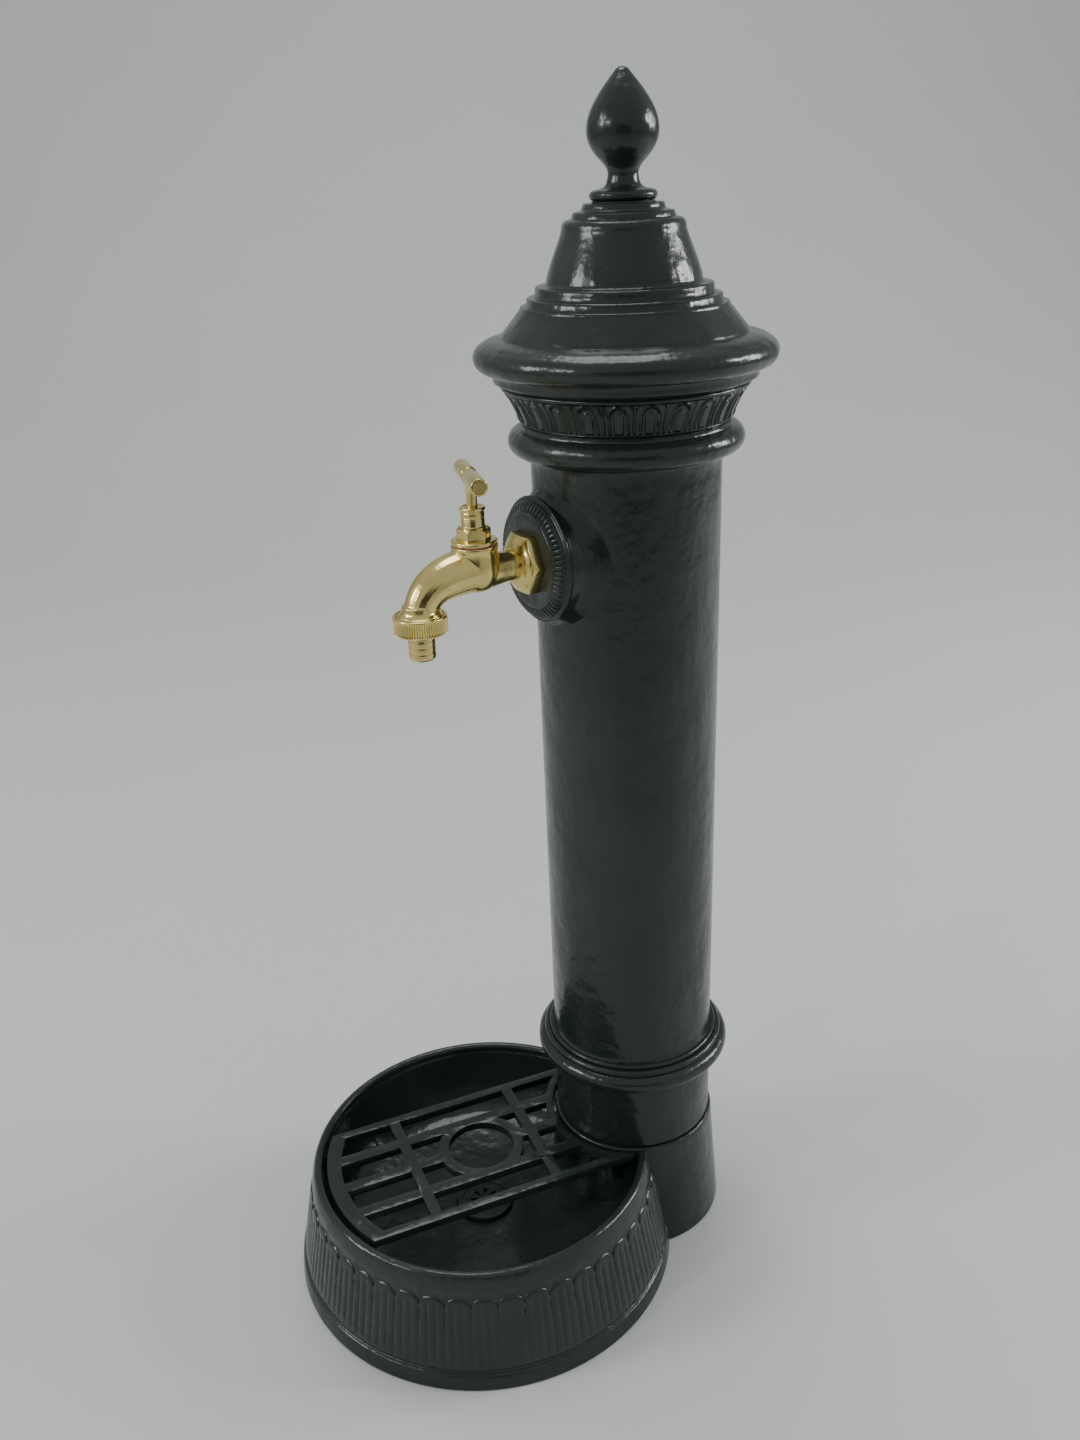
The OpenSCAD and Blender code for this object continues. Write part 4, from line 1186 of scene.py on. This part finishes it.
@dataclass
class BibTap:
    """Cast brass tap body between its hexagon bush and its outlet."""

    shop: Shop
    voxel: float = 0.42
    rounds: int = 9

    def bulb(self) -> bmesh.types.BMesh:
        """Bulb and throat under the bonnet."""
        profile = chain(
            [(0, 482.9)],
            curve((3, 482.7), (9.4, 483.2), (12.7, 488.5), (13.2, 495.5), 12),
            curve((13.2, 495.5), (13.3, 500), (12.6, 503.4), (12.8, 506.6), 6),
            [(13.3, 508.2), (13.3, 509.9), (0, 509.9)],
        )
        return self._set(self.shop.lathe(profile, 64), Axis.SPINDLE)

    def neck(self) -> bmesh.types.BMesh:
        """Neck between the bush and the bulb."""
        profile = chain([(0, 60)], [(8.4, 60), (8.6, 77), (9.0, 84)],
            curve((9.0, 84), (9.4, 89), (10.4, 93), (11.3, 99), 6), [(0, 102)])
        return self._set(self.shop.lathe(profile, 48), Axis.TAP)

    def spout(self) -> bmesh.types.BMesh:
        """Swan neck from the bulb to the outlet.

        Returns:
            The tube, in place.
        """
        path = curve((100, 495.9), (123, 495.8), (136.4, 491.0), (138.6, 473.5), 20)
        radii = [r for _, r in curve((0, 12.9), (0.4, 13.4), (0.5, 9.6), (1, 9.75), 20)]
        stations = [(s, z, r) for (s, z), r in zip(path, radii)]
        data = bpy.data.curves.new("spout", "CURVE")
        data.dimensions = "3D"
        data.bevel_depth = MM
        data.bevel_resolution = 8
        data.use_fill_caps = True
        spline = data.splines.new("POLY")
        spline.points.add(len(stations) - 1)
        turn = self.shop.layout.matrix(Axis.COLUMN)
        for point, (s, z, r) in zip(spline.points, stations):
            point.co = (*(turn @ Vector((0, -s * MM, z * MM))), 1)
            point.radius = r
        holder = bpy.data.objects.new("spout", data)
        bpy.context.scene.collection.objects.link(holder)
        graph = bpy.context.evaluated_depsgraph_get()
        mesh = bpy.data.meshes.new_from_object(holder.evaluated_get(graph))
        bm = bmesh.new()
        bm.from_mesh(mesh)
        bmesh.ops.remove_doubles(bm, verts=bm.verts, dist=1e-6)
        bmesh.ops.recalc_face_normals(bm, faces=bm.faces)
        bpy.data.objects.remove(holder)
        bpy.data.curves.remove(data)
        bpy.data.meshes.remove(mesh)
        return bm

    def _set(self, bm: bmesh.types.BMesh, axis: Axis) -> bmesh.types.BMesh:
        """Moves a mesh from +Z to its axis."""
        bmesh.ops.transform(bm, matrix=self.shop.layout.matrix(axis), verts=bm.verts)
        return bm

    def build(self) -> list[bpy.types.Object]:
        """Builds the body, its outlet collar and the bush's round shoulder.

        Returns:
            The pieces.
        """
        flare = chain(
            [(0, 474)], [(12.0, 474), (12.2, 476.6)],
            curve((12.2, 476.8), (10.8, 477.2), (9.9, 478.6), (9.7, 482), 6), [(0, 482)]
        )
        outlet = self._set(self.shop.lathe(flare, 64), Axis.OUTLET)
        skin = self.shop.fused([self.bulb(), self.neck(), self.spout(), outlet], self.voxel, self.rounds)
        body = self.shop.adopt("tap_casting", skin, Coat.BRASS, "fountain", ["tap_body"], 60)
        thread = chain(
            [(7.5, 472.1), (12.9, 472.1), (13.2, 472.4), (13.2, 475.6), (12.6, 476.3), (11.6, 476.9),
                (7.5, 476.9)]
        )
        collar = self.shop.place(
            "outlet_thread", self.shop.lathe(thread, 96, closed=True), Axis.OUTLET, Coat.BRASS, "fountain"
        )
        dome = chain(
            [(7.6, 74.5), (15.6, 74.5)], curve((15.6, 75.0), (14.6, 76.6), (12.4, 78.0), (9.4, 78.6), 9),
            [(8.4, 78.5), (7.9, 78.1)],
        )
        shoulder = self.shop.place("bush_shoulder", self.shop.lathe(dome, 96, closed=True), Axis.TAP,
            Coat.BRASS, "fountain")
        return [body, collar, shoulder]


@dataclass
class Headwork:
    """Bonnet, gland nut, spindle and T-bar above the tap body."""

    shop: Shop
    bonnet_z: float = 510.7
    bar_z: float = 547.3
    bar_r: float = 4.75
    bar_len: float = 55.0
    bar_turn: float = -18.0

    def hexagon(self, across: float, low: float, high: float, chamfer: float,
        twist: float) -> bmesh.types.BMesh:
        """Hexagonal prism with its upper corners turned off.

        Args:
            across: Distance across the flats.
            low: Height of its foot.
            high: Height of its top.
            chamfer: Height of the chamfer at the corners.
            twist: Turn about its axis, in degrees.

        Returns:
            The mesh about +Z.
        """
        corner = across / 2 / math.cos(math.pi / 6)
        bm = bmesh.new()
        bmesh.ops.create_cone(
            bm, cap_ends=True, segments=6, radius1=corner * MM, radius2=corner * MM, depth=(high - low) * MM,
            matrix=Matrix.Translation((0, 0, (high + low) / 2 * MM)) @ Matrix.Rotation(math.radians(twist),
                4, "Z"),
        )
        rims = [e for e in bm.edges if all(v.co.z > (high - 0.01) * MM for v in e.verts)]
        bmesh.ops.subdivide_edges(bm, edges=rims, cuts=9, use_grid_fill=False)
        for v in bm.verts:
            r = math.hypot(v.co.x, v.co.y) / MM
            if v.co.z > (high - 0.01) * MM and r > across / 2:
                v.co.z -= chamfer * MM * (r - across / 2) / (corner - across / 2)
        upright = [
            e for e in bm.edges
            if abs(e.verts[0].co.z - e.verts[1].co.z) > (high - low) * 0.5 * MM
        ]
        bmesh.ops.bevel(
            bm, geom=upright, offset=0.25 * MM, offset_type="OFFSET", segments=2, profile=0.5, affect="EDGES",
            clamp_overlap=True, material=-1,
        )
        bmesh.ops.recalc_face_normals(bm, faces=bm.faces)
        return bm

    def build(self) -> list[bpy.types.Object]:
        """Builds the headwork.

        Returns:
            The pieces.
        """
        z = self.bonnet_z
        put = self.shop.place
        flange = chain(
            [(4.6, z)], soften([(12.4, z), (13.05, z + 0.3), (13.05, z + 1.9), (12.5, z + 2.3),
                (9.4, z + 2.45)], 0.3, 2),
            [(4.6, z + 2.45)],
        )
        pieces = [put("bonnet_flange", self.shop.lathe(flange, 96, closed=True), Axis.SPINDLE, Coat.BRASS,
            "fountain", ["bonnet"])]
        pieces.append(
            put("bonnet_hexagon", self.hexagon(17.0, z + 2.3, z + 8.9, 1.2, 41.0), Axis.SPINDLE, Coat.BRASS,
                "fountain")
        )
        neck = chain(
            [(3.3, z + 8.0), (7.3, z + 8.0), (7.3, z + 9.2)],
            curve((7.25, z + 9.5), (6.9, z + 9.7), (6.6, z + 9.8), (6.55, z + 10.2), 4),
            [(6.55, z + 14.4), (6.4, z + 14.7), (5.5, z + 14.75), (5.5, z + 17.2), (3.3, z + 17.2)],
        )
        pieces.append(put("bonnet_neck", self.shop.lathe(neck, 96, closed=True), Axis.SPINDLE, Coat.BRASS,
            "fountain"))
        gland = chain(
            [(5.6, z + 14.75)], soften(
                [(6.4, z + 14.75), (6.6, z + 15.0), (6.6, z + 17.2), (6.2, z + 17.8), (6.3, z + 18.4),
                 (7.2, z + 18.8), (7.2, z + 20.1), (6.8, z + 20.5), (5.8, z + 20.5), (5.2, z + 20.1)], 0.25,
                 2,
            ),
            [(3.1, z + 20.0), (3.1, z + 17.5), (5.6, z + 17.5)],
        )
        pieces.append(
            put("gland_cap", self.shop.lathe(gland, 96, closed=True), Axis.SPINDLE, Coat.BRASS, "fountain",
                ["gland_nut"])
        )
        pieces += self.handle()
        return pieces

    def handle(self) -> list[bpy.types.Object]:
        """Builds the spindle and the T-bar.

        Returns:
            The pieces, riding on the spindle.
        """
        z = self.bar_z
        stem = chain(
            [(0, 502.0), (2.4, 502.0), (4.75, 502.0), (4.75, 513.6), (3.0, 514.2), (3.0, 538.4)],
            curve((3.0, 538.6), (3.0, 541), (3.3, 542.6), (4.0, 543.8), 6),
            [(4.1, z), (0, z + 0.5)],
        )
        spindle = self.shop.place(
            "spindle_stem", self.shop.lathe(stem, 64), Axis.SPINDLE, Coat.BRASS, "spindle", ["spindle"]
        )
        half, r = self.bar_len / 2, self.bar_r
        side = chain(
            [(0, -half), (r - 1.5, -half), (r - 1.25, -half + 0.25), (r - 1.0, -half)],
            curve((r - 0.8, -half), (r - 0.2, -half), (r, -half + 0.2), (r, -half + 0.9), 4),
            line((r, -half + 3), (r, -6.0), 3), [(r - 0.1, -5.5), (r - 0.5, -5.2), (r - 0.62, -4.6)],
            [(r - 0.62, -1.5)],
        )
        bar = chain(side, [(a, -b) for a, b in reversed(side)])
        bm = self.shop.lathe(bar, 64)
        place = (
            Matrix.Translation((0, 0, z * MM))
            @ Matrix.Rotation(math.radians(self.bar_turn), 4, "Z")
            @ Matrix.Rotation(math.pi / 2, 4, "Y")
        )
        bmesh.ops.transform(bm, matrix=place, verts=bm.verts)
        handle = self.shop.place("tee_bar", bm, Axis.SPINDLE, Coat.BRASS, "spindle", ["tee_handle"])
        return [spindle, handle]


@dataclass
class HoseUnion:
    """Knurled union nut and the grooved hose tail that it holds."""

    shop: Shop
    low: float = 466.0
    high: float = 476.2
    outer: float = 15.2
    teeth: int = 66
    tail_foot: float = 450.5

    def knurl(self, angle: float, r: float, z: float) -> tuple[float, float]:
        """Straight knurling on the nut's side.

        Args:
            angle: Angle about the outlet's axis, in radians.
            r: Radius before the relief.
            z: Height before the relief.

        Returns:
            New radius and height.
        """
        if r < self.outer - 0.35:
            return r, z
        tooth = abs((angle / (2 * math.pi / self.teeth)) % 1.0 - 0.5) * 2
        fade = smoothstep(self.low + 0.3, self.low + 1.0, z) * smoothstep(self.high - 0.9, self.high - 1.5, z)
        return r - 0.62 * (1 - (1 - tooth) ** 0.8) * fade, z

    def build(self) -> list[bpy.types.Object]:
        """Builds the union.

        Returns:
            The pieces.
        """
        lo, hi, r = self.low, self.high, self.outer
        section = chain(
            [(7.9, lo), (r - 1.6, lo)], curve((r - 1.0, lo), (r - 0.4, lo), (r, lo + 0.3), (r, lo + 0.8), 4),
            line((r, lo + 1.0), (r, hi - 1.5), 5),
            [(r, hi - 1.0), (r, hi - 0.5), (r - 0.25, hi - 0.12), (r - 0.6, hi)],
            [(13.7, hi), (13.35, hi - 0.4), (13.3, lo + 2), (7.9, lo + 2)],
        )
        bm = self.shop.lathe(section, self.teeth * 8, closed=True)
        self.shop.reshape(bm, self.knurl)
        nut = self.shop.place("knurled_nut", bm, Axis.OUTLET, Coat.BRASS, "union_nut", ["union_nut"])
        f = self.tail_foot
        barbs = chain(*[
            [(7.6, f + 0.9 + k * 3.6), (7.75, f + 1.3 + k * 3.6), (7.75, f + 3.8 + k * 3.6),
                (7.6, f + 4.2 + k * 3.6)]
            for k in range(3)
        ])
        tail = chain(
            [(6.25, f), (6.9, f)], soften(barbs + [(7.45, lo - 0.4), (7.75, lo - 0.2)], 0.25, 2),
            [(7.75, 468.05), (12.7, 468.05), (12.7, 470.05), (6.25, 470.05)],
        )
        spigot = self.shop.place(
            "hose_spigot", self.shop.lathe(tail, 96, closed=True), Axis.OUTLET, Coat.BRASS, "hose_tail",
            ["hose_tail"]
        )
        return [nut, spigot]


# ---------------------------------------------------------------- pieces that keep their CAD shape


@dataclass
class CarriedOver:
    """CAD nodes whose shape is right: they only take a finish, or a copy with eased edges."""

    shop: Shop
    nodes: dict[str, bpy.types.Object]
    brass: Sequence[str] = (
        "waste_nut", "back_nut", "supply_elbow", "inlet_coupling", "jumper_valve", "washer_nut",
    )
    rubber: Sequence[str] = (
        "seat_gasket", "finial_washer", "waste_gasket", "gland_packing", "tap_washer", "hose_washer",
    )
    zinc: Sequence[str] = (
        "column_bolts", "bolt_washers", "finial_stud", "barrel_nipple", "riser_pipe", "pipe_clip",
        "clip_stud",
    )
    painted: Sequence[str] = ("waste_body", "strainer", "strainer_screw")

    def build(self) -> list[bpy.types.Object]:
        """Dresses the carried-over nodes.

        Returns:
            The pieces made from eased copies.
        """
        dress = self.shop.palette.dress
        coats = {Coat.BRASS: self.brass, Coat.RUBBER: self.rubber, Coat.ZINC: self.zinc,
            Coat.ENAMEL: self.painted}
        for coat, names in coats.items():
            for name in names:
                dress(self.nodes[name], coat)
        dress(self.nodes["bonnet_gasket"], Coat.FIBRE)
        eased = self.shop.eased
        return [
            eased(self.nodes["grate"], "grate_casting", Coat.ENAMEL, "grate", ["grate"], 0.7, corner=2.6),
            eased(self.nodes["reducing_bush"], "hexagon_bush", Coat.BRASS, "fountain", ["reducing_bush"],
                0.3),
        ]


# ---------------------------------------------------------------- studio


@dataclass(frozen=True)
class Lamp:
    """Area lamp: its place, the point it faces, its width and height, all in metres, and its power."""

    name: str
    place: tuple[float, float, float]
    aim: tuple[float, float, float]
    size: tuple[float, float]
    watts: float


@dataclass
class Studio:
    """Floor, sweep, lights and camera."""

    eye: tuple[float, float, float] = (0.6680, -0.3290, 0.7014)
    heading: float = 158.1
    pitch: float = 23.41
    roll: float = -2.32
    lens: float = 32.03
    lamps: tuple[Lamp, ...] = (
        Lamp("window_right", (0.35, 2.3, 1.1), (0, -0.05, 0.4), (0.6, 0.9), 26),
        Lamp("lamp_right", (0.75, 1.7, 1.25), (0, -0.05, 0.5), (0.16, 0.16), 9),
        Lamp("window_left", (-0.35, -2.2, 1.4), (0, -0.05, 0.4), (0.6, 0.8), 20),
        Lamp("lamp_left", (0.5, -1.9, 1.3), (0, -0.05, 0.5), (0.14, 0.14), 5),
        Lamp("ceiling", (-0.9, 0.2, 3.4), (-0.4, 0, 0.2), (1.6, 1.6), 40),
    )

    def floor(self) -> None:
        """Lays a pale floor that curves up into a wall behind the object."""
        bm = bmesh.new()
        grid = bmesh.ops.create_grid(bm, x_segments=60, y_segments=60, size=6.0)
        ahead = Vector((math.cos(math.radians(self.heading)), math.sin(math.radians(self.heading)), 0))
        for v in grid["verts"]:
            along = v.co.dot(ahead)
            if along > 1.6:
                angle = min((along - 1.6) / 1.6, math.pi / 2)
                v.co -= ahead * (along - 1.6 - 1.6 * math.sin(angle))
                v.co.z = 1.6 * (1 - math.cos(angle)) + max(along - 1.6 - 1.6 * math.pi / 2, 0.0)
        mesh = bpy.data.meshes.new("sweep")
        bm.to_mesh(mesh)
        bm.free()
        mesh.shade_smooth()
        sweep = bpy.data.objects.new("sweep", mesh)
        bpy.context.scene.collection.objects.link(sweep)
        mesh.materials.append(Paper().make())

    def lamp(self, name: str, place: tuple[float, float, float], aim: tuple[float, float, float],
             size: tuple[float, float], power: float, tint: tuple[float, float, float] = (1, 1, 1)) -> None:
        """Hangs a rectangular light.

        Args:
            name: Name of the light.
            place: Where it hangs, in metres.
            aim: The point that it faces.
            size: Width and height, in metres.
            power: Power, in watts.
            tint: Colour.
        """
        data = bpy.data.lights.new(name, "AREA")
        data.shape = "RECTANGLE"
        data.size, data.size_y = size
        data.energy = power
        data.color = tint
        lamp = bpy.data.objects.new(name, data)
        lamp.location = place
        lamp.rotation_euler = (Vector(aim) - Vector(place)).to_track_quat("-Z", "Y").to_euler()
        bpy.context.scene.collection.objects.link(lamp)

    def card(self, name: str, place: tuple[float, float, float], aim: tuple[float, float, float],
             size: tuple[float, float]) -> None:
        """Stands a dark card outside the view, which the glossy parts reflect as the unlit room.

        Args:
            name: Name of the card.
            place: Its centre, in metres.
            aim: The point that it faces.
            size: Width and height, in metres.
        """
        bm = bmesh.new()
        bmesh.ops.create_grid(bm, x_segments=1, y_segments=1, size=0.5)
        turn = (Vector(aim) - Vector(place)).to_track_quat("Z", "Y").to_matrix().to_4x4()
        stretch = Matrix.Diagonal((size[0], size[1], 1, 1))
        bmesh.ops.transform(bm, matrix=Matrix.Translation(place) @ turn @ stretch, verts=bm.verts)
        mesh = bpy.data.meshes.new(name)
        bm.to_mesh(mesh)
        bm.free()
        mesh.materials.append(Paper("unlit_room", (0.03, 0.032, 0.032)).make())
        card = bpy.data.objects.new(name, mesh)
        bpy.context.scene.collection.objects.link(card)
        card.visible_camera = False

    def sky(self) -> None:
        """Sets a pale grey surround."""
        world = bpy.data.worlds.new("studio")
        world.use_nodes = True
        world.node_tree.nodes["Background"].inputs[0].default_value = (0.62, 0.64, 0.63, 1)
        world.node_tree.nodes["Background"].inputs[1].default_value = 0.84
        bpy.context.scene.world = world

    def camera(self) -> None:
        """Stands the camera where the view is taken from."""
        data = bpy.data.cameras.new("view")
        data.lens = self.lens
        data.sensor_width = 36.0
        data.sensor_fit = "AUTO"
        data.clip_start = 0.01
        data.clip_end = 60.0
        a, p, t = (math.radians(v) for v in (self.heading, self.pitch, self.roll))
        forward = Vector((math.cos(a) * math.cos(p), math.sin(a) * math.cos(p), -math.sin(p)))
        level = forward.cross(Vector((0, 0, 1))).normalized()
        upright = level.cross(forward).normalized()
        right = level * math.cos(t) + upright * math.sin(t)
        up = upright * math.cos(t) - level * math.sin(t)
        pose = Matrix((right, up, -forward)).transposed().to_4x4()
        pose.translation = Vector(self.eye)
        camera = bpy.data.objects.new("view", data)
        camera.matrix_world = pose
        bpy.context.scene.collection.objects.link(camera)
        bpy.context.scene.camera = camera

    def build(self) -> None:
        """Builds the studio."""
        self.floor()
        self.sky()
        self.camera()
        self.card("dark_room", (2.4, -1.0, 0.55), (0, -0.05, 0.5), (2.4, 1.3))
        for lamp in self.lamps:
            self.lamp(lamp.name, lamp.place, lamp.aim, lamp.size, lamp.watts)


def main() -> None:
    """Builds the fountain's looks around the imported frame."""
    logging.basicConfig(level=logging.INFO, format="%(name)s: %(message)s")
    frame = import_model()
    shop = Shop(Layout(), Palette())
    assemblies = [
        Basin(shop), Column(shop), Cap(shop), Finial(shop), BibTap(shop), Headwork(shop), HoseUnion(shop),
        CarriedOver(shop, frame["nodes"]),
    ]
    for assembly in assemblies:
        for piece in assembly.build():
            log.info("%s: %s, %d faces", type(assembly).__name__, piece.name, len(piece.data.polygons))
    Studio().build()
    bpy.context.view_layer.update()


if __name__ == "__main__":
    main()
